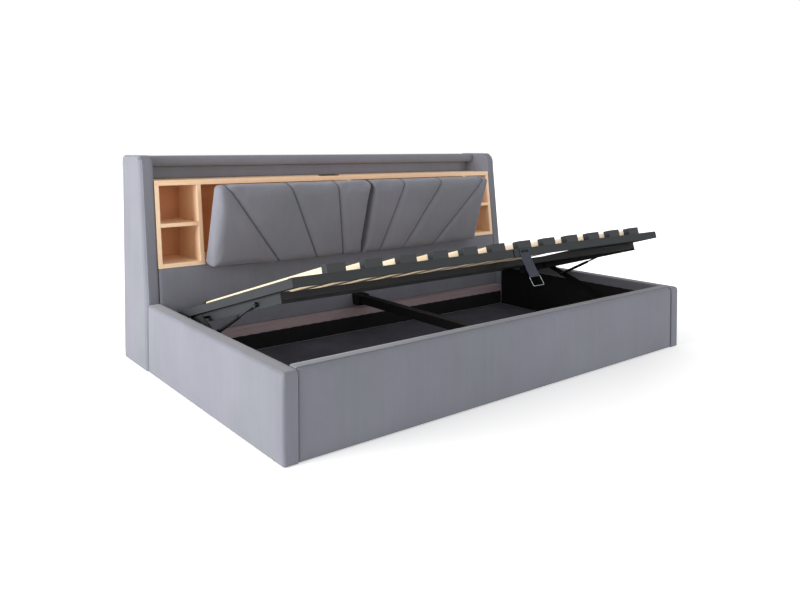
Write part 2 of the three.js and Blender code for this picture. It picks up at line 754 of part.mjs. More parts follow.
// Sideways thickening of a line of points into a closed band
function band(points, thickness) {
  const line = points.map(([y, z]) => new THREE.Vector2(y, z));
  const shifted = line.map((point, i) => {
    const before = line[Math.max(0, i - 1)];
    const after = line[Math.min(line.length - 1, i + 1)];
    const along = after.clone().sub(before).normalize();
    return new THREE.Vector2(point.x + along.y * thickness, point.y - along.x * thickness);
  });
  return new THREE.Shape([...line, ...shifted.reverse()]);
}
const strapLeft = strapFromMiddle - strapWidth / 2;
place(deck, 'pull_strap', slabAcrossX(
  band(strapRoute, strapThickness), strapLeft, strapLeft + strapWidth), webbing);

// The ring's top bar lies against the cut end of the strap, and the ring hangs in line with it
const [beforeEnd, strapEnd] = strapRoute.slice(-2).map(([y, z]) => new THREE.Vector2(y, z));
const strapAlong = strapEnd.clone().sub(beforeEnd).normalize();
const strapAcross = new THREE.Vector2(strapAlong.y, -strapAlong.x);
const barCentre = strapEnd.clone()
  .addScaledVector(strapAcross, strapThickness / 2)
  .addScaledVector(strapAlong, ringWire / 2 + seamGap);
const ringOuter = strapWidth / 2 + ringWire + ringPlay;
const ringTop = ringWire / 2;
const ringShape = roundedRectangle(-ringOuter, ringTop - ringHeight, ringOuter, ringTop, ringWire);
const ringInner = ringOuter - ringWire;
ringShape.holes.push(new THREE.Path(
  roundedRectangle(-ringInner, ringTop - ringHeight + ringWire, ringInner, -ringTop, ringWire / 2)
    .getPoints(2).reverse()));
const ring = slabAcrossY(ringShape, -ringWire / 2, ringWire / 2);
const ringPiece = place(deck, 'strap_ring', ring, brightSteel);
ringPiece.position.set(strapFromMiddle, barCentre.x, barCentre.y);
ringPiece.rotation.x = Math.atan2(strapAlong.x, -strapAlong.y);

// Arms, their fixed plates and the gas struts
const armWidth = 26;
const armPinRadius = 6;
const armPinHead = 10;
const carrierPinHead = 10;
const armHeadThickness = 4;
const armElbow = new THREE.Vector2(armPivot.x - armElbowBehind, armPivot.y + armElbowRise);
const strutFootPin = new THREE.Vector2(armPivot.x + strutFootAhead, armPivot.y + strutFootRise);

// A flat link with round ends, between two points of the side view
function linkAcrossX(from, to, width, nearX, farX) {
  const turn = Math.atan2(to.y - from.y, to.x - from.x);
  const outline = new THREE.Shape();
  outline.absarc(from.x, from.y, width / 2, turn + Math.PI / 2, turn + 1.5 * Math.PI, false);
  outline.absarc(to.x, to.y, width / 2, turn - Math.PI / 2, turn + Math.PI / 2, false);
  return slabAcrossX(outline, nearX, farX, 0, 8);
}

function liftArm() {
  const neck = linkAcrossX(armPivot, armElbow, armWidth, armInner, armOuter);
  const reach = linkAcrossX(armElbow, carrierPin, armWidth, armInner, armOuter);
  const pin = rodAlongX(carrierPinRadius, beamOuter - liftBeamWall - armHeadThickness, armOuter,
    carrierPin.x, carrierPin.y, glideSides);
  const head = rodAlongX(carrierPinHead, beamOuter - liftBeamWall - armHeadThickness,
    beamOuter - liftBeamWall - seamGap, carrierPin.x, carrierPin.y, glideSides);
  const stud = rodAlongX(strutStudRadius, eyeFar + strutHeadThickness + seamGap, armOuter,
    strutFootPin.x, strutFootPin.y, glideSides);
  const hole = rodAlongX(armPinRadius + pinClearance, armInner - overrun, armOuter + overrun,
    armPivot.x, armPivot.y, glideSides);
  return cut(join(neck, reach, pin, head, stud), hole);
}

const plateFront = 60;
const plateBack = 90;
const plateDrop = 55;
const plateRise = 45;
const plateCorner = 14;
function liftPlate() {
  const outline = roundedRectangle(armPivot.x - plateFront, armPivot.y - plateDrop,
    armPivot.x + plateBack, armPivot.y + plateRise, plateCorner);
  const plate = slabAcrossX(outline, plateInner, plateOuter);
  const pin = rodAlongX(armPinRadius, armInner - armHeadThickness, plateOuter - seamGap,
    armPivot.x, armPivot.y, glideSides);
  const head = rodAlongX(armPinHead, armInner - armHeadThickness, armInner - seamGap,
    armPivot.x, armPivot.y, glideSides);
  return join(plate, pin, head);
}

// Gas strut, drawn along +Z from the eye on the platform's beam to the foot eye
const strutHead = new THREE.Vector2(strutPinFromFront - carrierPinFromFront, 0)
  .rotateAround(origin, -liftTilt).add(carrierPin);
const strutRun = strutFootPin.clone().sub(strutHead);
const strutLength = strutRun.length();
const strutTurn = Math.atan2(strutRun.x, strutRun.y);
const rodRadius = 4;
const rodShare = 0.42;
const rodInShare = 0.23;
const eyeRadius = 9;
const eyePlay = 0.6;
const cylinderBore = rodRadius + eyePlay;
const cylinderStart = strutLength * rodShare;
const cylinderEnd = strutLength - eyeRadius;
const boreClear = 20;
const eyeSides = 16;

function eye(z) {
  const ringBody = rodAlongX(eyeRadius, -strutEyeThickness / 2, strutEyeThickness / 2, 0, z, eyeSides);
  const bore = rodAlongX(strutStudRadius + eyePlay, -strutEyeThickness, strutEyeThickness, 0, z, eyeSides);
  return [ringBody, bore];
}

function strutRod() {
  const [ringBody, bore] = eye(0);
  const length = strutLength * (rodShare + rodInShare) - eyeRadius / 2;
  const rod = new THREE.CylinderGeometry(rodRadius, rodRadius, length, eyeSides)
    .rotateX(Math.PI / 2).translate(0, 0, eyeRadius / 2 + length / 2);
  return cut(join(ringBody, rod), bore);
}

function strutCylinder() {
  const [ringBody, bore] = eye(strutLength);
  const end = cylinderEnd + eyeRadius / 2;
  const profile = [
    [cylinderBore, cylinderStart],
    [strutRadius, cylinderStart],
    [strutRadius, end],
    [0, end],
    [0, end - boreClear],
    [cylinderBore, end - boreClear],
    [cylinderBore, cylinderStart],
  ].map(([r, z]) => new THREE.Vector2(r, z));
  const tube = new THREE.LatheGeometry(profile, eyeSides).rotateX(Math.PI / 2);
  return cut(join(tube, ringBody), bore);
}

for (const [label, side] of sides) {
  place(bed, `lift_arm_${label}`, handed(liftArm(), side), blackSteel);
  place(bed, `lift_plate_${label}`, handed(liftPlate(), side), blackSteel);
  const strut = new THREE.Group();
  strut.position.set(side * strutMiddle, strutHead.x, strutHead.y);
  strut.rotation.x = -strutTurn;
  bed.add(strut);
  place(strut, `strut_rod_${label}`, strutRod(), brightSteel);
  place(strut, `strut_cylinder_${label}`, strutCylinder(), blackSteel);
}

export default model;
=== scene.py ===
"""Upholstered storage bed: a slatted platform lifts off a box, a headboard holds cubbies and flaps."""
import json
import math

import bmesh
import bpy
import numpy as np
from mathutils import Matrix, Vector

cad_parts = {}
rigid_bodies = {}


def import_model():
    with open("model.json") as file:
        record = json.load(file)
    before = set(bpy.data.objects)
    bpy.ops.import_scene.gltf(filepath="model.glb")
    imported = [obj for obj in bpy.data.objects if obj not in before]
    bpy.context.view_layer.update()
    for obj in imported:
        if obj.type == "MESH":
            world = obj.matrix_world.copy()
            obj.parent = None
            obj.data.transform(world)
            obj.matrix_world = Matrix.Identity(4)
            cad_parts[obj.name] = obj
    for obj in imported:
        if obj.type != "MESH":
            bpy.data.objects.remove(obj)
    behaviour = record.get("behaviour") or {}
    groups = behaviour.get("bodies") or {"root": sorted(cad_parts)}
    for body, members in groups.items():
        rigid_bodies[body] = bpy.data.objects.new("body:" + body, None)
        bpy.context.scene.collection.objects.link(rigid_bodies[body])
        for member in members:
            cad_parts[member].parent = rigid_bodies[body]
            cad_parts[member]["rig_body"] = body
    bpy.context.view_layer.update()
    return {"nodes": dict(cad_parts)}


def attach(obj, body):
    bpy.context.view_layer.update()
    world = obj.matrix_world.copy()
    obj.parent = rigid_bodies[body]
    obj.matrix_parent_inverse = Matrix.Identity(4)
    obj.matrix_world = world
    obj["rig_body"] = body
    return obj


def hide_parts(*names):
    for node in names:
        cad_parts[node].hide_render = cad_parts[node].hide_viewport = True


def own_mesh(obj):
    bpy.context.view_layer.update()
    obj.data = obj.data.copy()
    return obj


for stray in list(bpy.data.objects):
    bpy.data.objects.remove(stray)
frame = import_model()

# SIDE RAILS
# Two long boards wrapped in foam and grey-lavender velour, standing on edge between headboard and
# footboard. The cover is pulled over the top and stapled inside, so the broad faces roll at their edges.
MM = 0.001
BED_DEPTH = 1449.0
GAP = 0.3
INNER, OUTER, BOTTOM = 1000.0, 1060.0, 0.6
RAIL_SETBACK, RAIL_TOP = 3.0, 281.0
RAIL_ROLL, RAIL_DRAW = 90.0, 9.0
CRISP, SOFT, CORNER = 3.0, 14.0, 15.0
WING_FRONT = 1150.0
MERGE_WITHIN = 2e-6
BESIDE_SEAM = np.array([-7.0, -4.0, -2.0, -1.0, 0.0, 1.0, 2.0, 4.0, 7.0])
SIDES = (("left", -1), ("right", 1))


def linear(rgb):
    """sRGB bytes to linear values."""
    values = [c / 255 for c in rgb]
    return tuple(c / 12.92 if c < 0.04045 else ((c + 0.055) / 1.055) ** 2.4 for c in values)


def shade(colour, factor):
    """A linear colour made lighter or darker."""
    return tuple(min(1.0, c * factor) for c in colour)


def finish_nodes(name):
    """A new material, its node tree and its Principled shader."""
    material = bpy.data.materials.new(name)
    material.use_nodes = True
    return material, material.node_tree, material.node_tree.nodes["Principled BSDF"]


def put(tree, kind, **values):
    """A node with properties or inputs set by name; spaces in names are underscores."""
    node = tree.nodes.new(kind)
    for key, value in values.items():
        label = key.replace("_", " ")
        if label in node.inputs:
            if isinstance(value, bpy.types.NodeSocket):
                tree.links.new(value, node.inputs[label])
            else:
                node.inputs[label].default_value = value
        else:
            setattr(node, key, value)
    return node


def placed(tree, scale=(1.0, 1.0, 1.0), attribute=None, turn=0.0):
    """Object coordinates, or a stored vector, turned about X and stretched by scale."""
    if attribute:
        source = put(tree, "ShaderNodeAttribute", attribute_name=attribute).outputs["Vector"]
    else:
        source = put(tree, "ShaderNodeTexCoord").outputs["Object"]
    return put(tree, "ShaderNodeMapping", Vector=source, Rotation=(turn, 0.0, 0.0),
               Scale=scale).outputs["Vector"]


def cloudy(tree, coords, size=1.0, detail=4.0, rough=0.55):
    """Noise over the given coordinates."""
    return put(tree, "ShaderNodeTexNoise", Vector=coords, Scale=size, Detail=detail,
               Roughness=rough).outputs["Fac"]


def tones(tree, source, *stops):
    """A colour ramp over source; each stop is a place and a colour."""
    node = tree.nodes.new("ShaderNodeValToRGB")
    while len(node.color_ramp.elements) < len(stops):
        node.color_ramp.elements.new(0.5)
    for element, (place, colour) in zip(node.color_ramp.elements, stops):
        element.position = place
        element.color = (*colour, 1.0)
    tree.links.new(source, node.inputs["Fac"])
    return node.outputs["Color"]


def fill(tree, socket, value):
    """Links a socket to another, or writes a number or colour on it."""
    if isinstance(value, bpy.types.NodeSocket):
        tree.links.new(value, socket)
    else:
        socket.default_value = (*value, 1.0) if isinstance(value, tuple) else value


def blended(tree, mode, factor, first, second):
    """Two colours mixed in the given mode."""
    node = tree.nodes.new("ShaderNodeMix")
    node.data_type = "RGBA"
    node.blend_type = mode
    for socket, value in ((node.inputs[0], factor), (node.inputs[6], first), (node.inputs[7], second)):
        fill(tree, socket, value)
    return node.outputs[2]


def layered(tree, colour, *layers):
    """A colour multiplied by one ramp after another; a layer is its share, source and stops."""
    for share, source, *stops in layers:
        colour = blended(tree, "MULTIPLY", share, colour, tones(tree, source, *stops))
    return colour


def sums(tree, operation, *terms):
    """One arithmetic step on sockets or numbers."""
    node = put(tree, "ShaderNodeMath", operation=operation)
    for socket, value in zip(node.inputs, terms):
        fill(tree, socket, value)
    return node.outputs[0]


def relief(tree, shader, height, strength, distance, under=None):
    """A bump from height, laid over an earlier one if given."""
    node = put(tree, "ShaderNodeBump", Height=height, Strength=strength, Distance=distance)
    if under is not None:
        tree.links.new(under, node.inputs["Normal"])
    tree.links.new(node.outputs["Normal"], shader.inputs["Normal"])
    return node.outputs["Normal"]


WHITE = (1.0, 1.0, 1.0)


def velour(name, rgb, sheen=0.25):
    """Short-pile cloth: brushed clouds, upright streaks where the pile lies over, and fine tufts.

    A stored seam attribute darkens it: the pile is crushed there, and it is painted shade in the crease.
    """
    material, tree, shader = finish_nodes(name)
    base = linear(rgb)
    cloud = cloudy(tree, placed(tree, (1.0, 1.0, 0.8)), size=3.6, detail=5.0)
    drift = cloudy(tree, placed(tree, (1.0, 1.0, 0.5)), size=2.3, detail=2.0)
    streak = cloudy(tree, placed(tree, (52.0, 52.0, 2.6)), detail=3.0)
    hand = cloudy(tree, placed(tree, (9.0, 9.0, 5.0)), detail=6.0, rough=0.7)
    tuft = cloudy(tree, placed(tree), size=1100.0, detail=2.0)
    colour = tones(tree, cloud, (0.28, shade(base, 0.93)), (0.74, shade(base, 1.07)))
    colour = layered(tree, colour,
                     (0.80, drift, (0.36, (0.97, 1.0, 0.96)), (0.62, (1.0, 0.985, 1.0))),
                     (0.45, streak, (0.30, (0.90, 0.90, 0.91)), (0.66, WHITE)),
                     (0.40, hand, (0.34, (0.92, 0.92, 0.94)), (0.62, WHITE)),
                     (0.60, tuft, (0.34, (0.84, 0.84, 0.86)), (0.66, WHITE)))
    # Along seams the colour darkens towards a third of the base: crushed pile, and painted shade in the
    # crease
    crushed_pile_and_shade = put(tree, "ShaderNodeAttribute", attribute_name="crushed_pile_and_shade").outputs["Fac"]
    colour = blended(tree, "MIX", sums(tree, "MULTIPLY", crushed_pile_and_shade, 0.75), colour, shade(base, 0.3))
    tree.links.new(colour, shader.inputs["Base Color"])
    shader.inputs["Roughness"].default_value = 0.95
    shader.inputs["Specular IOR Level"].default_value = 0.12
    shader.inputs["Sheen Weight"].default_value = sheen
    shader.inputs["Sheen Roughness"].default_value = 0.5
    soft = relief(tree, shader, hand, 0.16, 0.003)
    relief(tree, shader, tuft, 0.30, 0.0005, soft)
    return material


def to_row(points):
    """Bed millimetres (Y from the footboard's face) to the row frame's metres."""
    return (np.asarray(points, float) - np.array([0.0, BED_DEPTH / 2, 0.0])) * MM


def grid_quads(rows, columns, start=0, closed=False):
    """Quads between the points of a grid numbered row by row; closed joins last column to first."""
    i = np.arange(rows - 1)[:, None]
    j = np.arange(columns if closed else columns - 1)[None, :]
    a, b = start + i * columns + j, start + i * columns + (j + 1) % columns
    return np.stack([a, b, b + columns, a + columns], axis=-1).reshape(-1, 4)


def smooth_step(t):
    """0 below 0, 1 above 1, and 3t^2 - 2t^3 between."""
    t = np.clip(t, 0.0, 1.0)
    return t * t * (3 - 2 * t)


def slow_waves(points, reach):
    """Unevenness between -1 and 1: a sum of sines along crossing directions, no two alike."""
    a, b, c = (points / reach).T
    return (np.sin(2.1 * a + 1.3 * c + 0.7) + np.sin(1.7 * c - 2.3 * b + 2.1)
            + np.sin(3.1 * b + 0.9 * a + 4.0) + np.sin(2.9 * c + 2.2 * a - 1.0)) / 4


def foam_block(low, high, low_radii, high_radii, step=14.0, roll=60.0, draws=(0.0, 0.0), uneven=0.5,
               seams=((), (), ())):
    """Points and quads of a padded board.

    Six grids lie on the box, finer near its edges and beside the seams of each axis. Each point moves
    to the nearest point of the box shrunk by the radii of its sides, then out by them. Within the
    distance roll of an edge the two broad faces sink by their draw times the square of how near the
    edge is, and further in they carry slow unevenness.
    """
    low, high = np.array(low, float), np.array(high, float)
    low_radii, high_radii = np.array(low_radii, float), np.array(high_radii, float)
    size = high - low
    ticks = []
    bend = 1 - np.cos(np.linspace(0, math.pi / 2, 8))
    for axis in range(3):
        near, far = low_radii[axis], size[axis] - high_radii[axis]
        middle = np.linspace(near, far, max(3, int((far - near) / step)) + 1)[1:-1]
        ends = near * bend, (size[axis] - high_radii[axis] * bend)[::-1]
        plain = low[axis] + np.concatenate([ends[0], middle, ends[1]])
        ticks.append(np.unique(np.concatenate([plain, *(seam + BESIDE_SEAM for seam in seams[axis])])))
    points, quads, start = [], [], 0
    for axis in range(3):
        u, v = (a for a in range(3) if a != axis)
        for end in (low[axis], high[axis]):
            grid = np.zeros((len(ticks[u]), len(ticks[v]), 3))
            grid[..., u] = ticks[u][:, None]
            grid[..., v] = ticks[v][None, :]
            grid[..., axis] = end
            points.append(grid.reshape(-1, 3))
            quads.append(grid_quads(*grid.shape[:2], start))
            start += grid.shape[0] * grid.shape[1]
    points, quads = np.concatenate(points), np.concatenate(quads)
    thin = int(np.argmin(size))
    outward = np.sign(points[:, thin] - (low + high)[thin] / 2)
    radii = np.where(points < (low + high) / 2, low_radii, high_radii)
    broad = np.abs(points[:, thin] - (low + high)[thin] / 2) > size[thin] / 2 - radii[:, thin] * 0.6
    across = [a for a in range(3) if a != thin]
    near_edge = [np.minimum(points[:, a] - low[a], high[a] - points[:, a]) for a in across]
    bowed = 1 - np.prod([1 - np.clip(1 - near / roll, 0, 1) ** 2 for near in near_edge], axis=0)
    core = np.clip(points, low + low_radii, high - high_radii)
    away = (points - core) / radii
    length = np.linalg.norm(away, axis=1, keepdims=True)
    reach = np.abs(away).max(axis=1, keepdims=True)
    points = core + away / np.maximum(length, 1e-9) * reach * radii
    inside = smooth_step(np.min(near_edge, axis=0) / roll)
    draw = np.where(outward < 0, *draws)
    change = inside * uneven * (slow_waves(points, 160.0) - 1) - draw * bowed
    points[:, thin] += outward * np.where(broad, change, 0.0)
    return points, quads


def settle(obj, body, material, slot, *nodes):
    """Gives a piece its finish and body, and lets it stand for its CAD nodes."""
    obj.data.materials.clear()
    obj.data.materials.append(material)
    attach(obj, body)
    if nodes:
        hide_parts(*nodes)
    return obj


def weigh_normals(mesh, limit):
    """Sets each corner's normal to the sum of the touching faces' normals, weighted by their areas.

    Only faces within the limit of the corner's own face count, so broad flats stay flat and narrow
    rounded edges carry the turn. Corners are sorted by vertex, and each is summed with its next one
    round the vertex, then the one after, until all have met.
    """
    corner_count, face_count = len(mesh.loops), len(mesh.polygons)
    corner_vertex, totals = np.zeros(corner_count, int), np.zeros(face_count, int)
    normals, areas = np.zeros(face_count * 3), np.zeros(face_count)
    mesh.loops.foreach_get("vertex_index", corner_vertex)
    mesh.polygons.foreach_get("loop_total", totals)
    mesh.polygons.foreach_get("normal", normals)
    mesh.polygons.foreach_get("area", areas)
    normals = normals.reshape(-1, 3)
    corner_face = np.repeat(np.arange(face_count), totals)
    order = np.argsort(corner_vertex, kind="stable")
    group = corner_vertex[order]
    first = np.searchsorted(group, group, side="left")
    valence = np.searchsorted(group, group, side="right") - first
    rank = np.arange(corner_count) - first
    own = normals[corner_face[order]]
    total = np.zeros((corner_count, 3))
    for shift in range(int(valence.max())):
        partner = corner_face[order[first + (rank + shift) % valence]]
        near = np.sum(own * normals[partner], axis=1) > math.cos(math.radians(limit))
        total += np.where(near & (shift < valence), areas[partner], 0.0)[:, None] * normals[partner]
    result = np.zeros((corner_count, 3))
    result[order] = total / np.maximum(np.linalg.norm(total, axis=1, keepdims=True), 1e-12)
    mesh.normals_split_custom_set(result.tolist())


def piece(name, points, faces, smooth=180.0, attributes=()):
    """A closed mesh from bed millimetres: doubles merged, faces outward, smooth below an angle.

    A hard piece of several boards keeps them as shells of their own, whose doubles are merged before.
    """
    mesh = bpy.data.meshes.new(name)
    mesh.from_pydata(to_row(points).tolist(), [], [list(map(int, f)) for f in faces])
    for label, domain, kind, values in attributes:
        layer = mesh.attributes.new(label, kind, domain)
        layer.data.foreach_set("vector" if kind == "FLOAT_VECTOR" else "value",
                               np.asarray(values, np.float32).ravel())
    work = bmesh.new()
    work.from_mesh(mesh)
    if smooth == 180:
        bmesh.ops.remove_doubles(work, verts=work.verts, dist=MERGE_WITHIN)
    bmesh.ops.recalc_face_normals(work, faces=work.faces)
    work.to_mesh(mesh)
    work.free()
    mesh.shade_smooth()
    if smooth < 180:
        weigh_normals(mesh, smooth)
    obj = bpy.data.objects.new(name, mesh)
    bpy.context.collection.objects.link(obj)
    return obj


VELOUR = velour("velour", (127, 128, 137))
for label, side in SIDES:
    points, quads = foam_block((INNER, RAIL_SETBACK, BOTTOM), (OUTER, WING_FRONT - GAP, RAIL_TOP),
                               (CRISP, CORNER, CRISP), (SOFT, CRISP, SOFT),
                               roll=RAIL_ROLL, draws=(0.0, RAIL_DRAW))
    points *= np.array([side, 1, 1])
    settle(piece(f"rail_{label}", points, quads), "base", VELOUR, "velvet", f"side_rail_{label}")

# FOOTBOARD
# A padded board between the rails, a little higher than they are. Its cover is the same velour, and
# where it meets the rails a narrow shadow line is left.
FOOT_THICK, FOOT_TOP, STRAP_ROOM = 65.0, 285.0, 0.6
FOOT_SOFT, FOOT_ROLL, FOOT_DRAW = 26.0, 95.0, 8.0
FOOT_BACK = FOOT_THICK - STRAP_ROOM
points, quads = foam_block((-INNER + GAP, 0.0, BOTTOM), (INNER - GAP, FOOT_BACK, FOOT_TOP),
                           (CRISP, FOOT_SOFT, CRISP), (CRISP, CRISP, FOOT_SOFT),
                           roll=FOOT_ROLL, draws=(FOOT_DRAW, 0.0))
settle(piece("foot_panel", points, quads), "base", VELOUR, "velvet", "footboard")

# BOX LINING
# The inside of the box is lined: black spun cloth is stapled to the walls below a band of the rails'
# own velour, and a dark-grey cloth is glued over the two floor boards.
LINING_FOOT, RAIL_LINING_TOP, FOOT_LINING_TOP, LEDGE_LINING_TOP = 26.0, 240.0, 246.0, 100.0
LINING_END, STAPLE_PITCH, STAPLE_DIP = 4.0, 55.0, 1.6
FLAT_FOLD, LOOSE_FOLD = 0.05, 1.4
FLOOR_BOTTOM, FLOOR_TOP, FLOOR_EDGE = 12.0, 24.0, 2.0
FLOOR_RIM, FLOOR_FADE = 8.0, 60.0
LEDGE_FRONT, LEDGE_BACK, LEDGE_TOP = 1094.0, 1149.0, 135.0


def spun_cloth(name, rgb, thread=1600.0, strength=0.35):
    """Non-woven or woven lining: crossing threads over a cloudy tone, a little fibre shine."""
    material, tree, shader = finish_nodes(name)
    base = linear(rgb)
    cloud = cloudy(tree, placed(tree), size=7.0, detail=6.0, rough=0.65)
    warp = put(tree, "ShaderNodeTexWave", bands_direction="X", Scale=1.0, Distortion=0.6,
               Vector=placed(tree, (thread / 6.3,) * 3))
    weft = put(tree, "ShaderNodeTexWave", bands_direction="Z", Scale=1.0, Distortion=0.6,
               Vector=placed(tree, (thread / 6.3,) * 3, turn=math.pi / 4))
    threads = sums(tree, "MULTIPLY", warp.outputs["Fac"], weft.outputs["Fac"])
    colour = tones(tree, cloud, (0.30, shade(base, 0.84)), (0.70, shade(base, 1.18)))
    colour = layered(tree, colour, (0.7, threads, (0.1, (0.74, 0.74, 0.76)), (0.7, WHITE)))
    tree.links.new(colour, shader.inputs["Base Color"])
    shader.inputs["Roughness"].default_value = 0.9
    shader.inputs["Specular IOR Level"].default_value = 0.15
    soft = relief(tree, shader, cloud, 0.25, 0.004)
    relief(tree, shader, threads, strength, 0.0004, soft)
    return material


BLACK_CLOTH = spun_cloth("black_cloth", (34, 34, 36))
FLOOR_CLOTH = spun_cloth("floor_cloth", (88, 89, 100), thread=1100.0)


def wall_cloth(start, end, foot, top, out, fold):
    """A stapled wall cloth as a thin closed slab.

    A grid runs along the wall from start to end (X and Y) and up from foot to top. Its front stands
    off by slow waves that die at foot and hem; the hem dips between the staples. Its back follows
    the wall, and the two are closed into one ring, with a strip of quads at each end.
    """
    start, end, out = (np.array(v, float) for v in (start, end, out))
    run = np.linalg.norm(end - start)
    columns, rows = int(run / 9) + 2, 22
    along = np.linspace(0, run, columns)[None, :]
    rise = np.linspace(0, 1, rows)[:, None]
    height = foot + rise * (top - foot - STAPLE_DIP * np.sin(math.pi * along / STAPLE_PITCH) ** 2)
    wave = np.sin(along / 47.0 + 2.2 * rise) + 0.6 * np.sin(along / 21.0 - 3.1 * rise + 1.0)
    stand = 0.25 + fold * (0.5 + 0.31 * wave) * np.sin(math.pi * rise) ** 0.7
    place = start + (end - start) / run * along[..., None]
    layers = []
    for off in (stand, np.full_like(stand, 0.08)):
        layers.append(np.dstack([place[..., 0] + out[0] * off, place[..., 1] + out[1] * off, height]))
    ring = np.concatenate([layers[0], layers[1][::-1]])
    count = len(ring)
    i, j = np.arange(columns - 1), np.arange(rows - 1)
    last = (count - 1) * columns
    faces = [grid_quads(count, columns), np.stack([last + i, last + i + 1, i + 1, i], axis=-1)]
    for column in (0, columns - 1):
        faces.append(np.stack([j, j + 1, count - 2 - j, count - 1 - j], axis=-1) * columns + column)
    return ring.reshape(-1, 3), np.concatenate(faces)


front, back, end = FOOT_THICK + 1, LEDGE_FRONT - 1, INNER - LINING_END
walls = {
    "rail_lining_left": ((-INNER, front), (-INNER, back), RAIL_LINING_TOP, (1, 0), FLAT_FOLD),
    "rail_lining_right": ((INNER, front), (INNER, back), RAIL_LINING_TOP, (-1, 0), FLAT_FOLD),
    "foot_lining": ((-end, FOOT_BACK), (end, FOOT_BACK), FOOT_LINING_TOP, (0, 1), FLAT_FOLD),
    "ledge_lining": ((-end, LEDGE_FRONT), (end, LEDGE_FRONT), LEDGE_LINING_TOP, (0, -1), LOOSE_FOLD),
}
for name, (first, last, top, out, fold) in walls.items():
    cloth = piece(name, *wall_cloth(first, last, LINING_FOOT, top, out, fold))
    settle(cloth, "base", BLACK_CLOTH, "lining")

points, quads = foam_block((-INNER + GAP, FOOT_THICK + GAP, FLOOR_BOTTOM),
                           (INNER - GAP, LEDGE_BACK, FLOOR_TOP),
                           (FLOOR_EDGE,) * 3, (FLOOR_EDGE,) * 3, step=12.0, uneven=0.0)
# Low wrinkles die out towards front and back, and the cloth dips into the joint of the two boards
from_front, from_ledge = points[:, 1] - FOOT_THICK, LEDGE_FRONT - points[:, 1]
fade = (smooth_step((from_ledge - FLOOR_RIM) / FLOOR_FADE)
        * smooth_step((from_front - FLOOR_RIM) / FLOOR_FADE))
joint = np.exp(-((np.abs(points[:, 0]) - 2.0) / 5.0) ** 2)
wrinkle = fade * 0.9 * (1 + slow_waves(points, 120.0)) - 2.6 * joint
points[:, 2] += np.where(points[:, 2] > FLOOR_TOP - 0.5, wrinkle, 0.0)
settle(piece("floor_boards", points, quads), "base", FLOOR_CLOTH, "lining", "storage_floor")


# BACK LEDGE
# A raw board stands on the floor in front of the headboard's lower panel. It carries the back of the
# platform's load and is lined like the walls, except for its upper edge, where the bare wood shows.
def timber(name, pale, deep, polish=0.5, flecks=0.5, figure=0.7, plies=0.0):
    """Wood read from the vector attribute grain, whose X runs along the fibres in metres.

    Wide figure, fine fibres, short darker flecks; broken edges lightened as wear and painted highlight.
    """
    material, tree, shader = finish_nodes(name)
    pale, deep = linear(pale), linear(deep)
    wide = cloudy(tree, placed(tree, (1.1, 14.0, 14.0), "grain"), detail=4.0, rough=0.6)
    board = cloudy(tree, placed(tree, (0.4, 3.1, 3.1), "grain"), detail=2.0)
    fibre = cloudy(tree, placed(tree, (7.0, 330.0, 330.0), "grain"), detail=3.0, rough=0.7)
    fleck = cloudy(tree, placed(tree, (70.0, 620.0, 620.0), "grain"), detail=1.0)
    colour = tones(tree, wide, (0.30, deep), (0.52, pale), (0.80, shade(pale, 1.05)))
    colour = blended(tree, "MIX", 1 - figure, colour, pale)
    colour = layered(tree, colour,
                     (0.8, board, (0.3, (0.90, 0.88, 0.85)), (0.7, WHITE)),
                     (0.7, fibre, (0.30, (0.87, 0.83, 0.79)), (0.62, WHITE)),
                     (flecks, fleck, (0.30, (0.76, 0.67, 0.58)), (0.40, WHITE)))
    if plies:
        layers = put(tree, "ShaderNodeTexWave", bands_direction="Z", Scale=1.0, Distortion=0.3,
                     Vector=placed(tree, (0.0, 0.0, plies), "grain")).outputs["Fac"]
        colour = layered(tree, colour, (0.35, layers, (0.25, (0.80, 0.70, 0.58)), (0.5, WHITE)))
    # Broken edges lighten towards the pale colour: partly wear, partly painted highlight
    wear_and_highlight = put(tree, "ShaderNodeAttribute", attribute_name="wear_and_highlight").outputs["Fac"]
    colour = blended(tree, "MIX", sums(tree, "MULTIPLY", wear_and_highlight, 0.35), colour, shade(pale, 1.1))
    tree.links.new(colour, shader.inputs["Base Color"])
    tree.links.new(sums(tree, "MULTIPLY_ADD", fibre, 0.2, polish), shader.inputs["Roughness"])
    relief(tree, shader, fibre, 0.14, 0.0005)
    return material


def broken_edges(points, faces, width):
    """A closed hard shape whose edges sharper than 28 degrees are rounded over by width.

    It gives the points, the faces, and for each face its share of wear and painted highlight, which is 1
    on the new narrow ones.
    """
    work = bmesh.new()
    verts = [work.verts.new(p) for p in points]
    for face in faces:
        work.faces.new([verts[i] for i in face])
    bmesh.ops.remove_doubles(work, verts=work.verts, dist=2e-3)
    bmesh.ops.dissolve_limit(work, angle_limit=math.radians(1.0), verts=work.verts, edges=work.edges)
    bmesh.ops.recalc_face_normals(work, faces=work.faces)
    sharp = [e for e in work.edges if len(e.link_faces) == 2
             and e.calc_face_angle(0.0) > math.radians(28.0)]
    new = set(bmesh.ops.bevel(work, geom=sharp, offset=width, offset_type="OFFSET", segments=2,
                              profile=0.6, affect="EDGES", clamp_overlap=True)["faces"])
    work.verts.index_update()
    points = np.array([v.co[:] for v in work.verts])
    faces = [[v.index for v in f.verts] for f in work.faces]
    wear_and_highlight = [1.0 if f in new else 0.0 for f in work.faces]
    work.free()
    return points, faces, wear_and_highlight


def joined(parts):
    """Several shapes put into one list of points, faces and their wear and painted highlight."""
    points, faces, wear_and_highlight, start = [], [], [], 0
    for p, f, w in parts:
        points.append(p)
        faces.extend([[i + start for i in face] for face in f])
        wear_and_highlight.extend(w)
        start += len(p)
    return np.concatenate(points), faces, wear_and_highlight


def grain_of(points, along, shift=0.0):
    """Coordinates in metres with the fibre direction first, moved on for each board."""
    order = [along] + [a for a in range(3) if a != along]
    return points[:, order] * MM + shift * np.array([0.37, 0.61, 0.23])


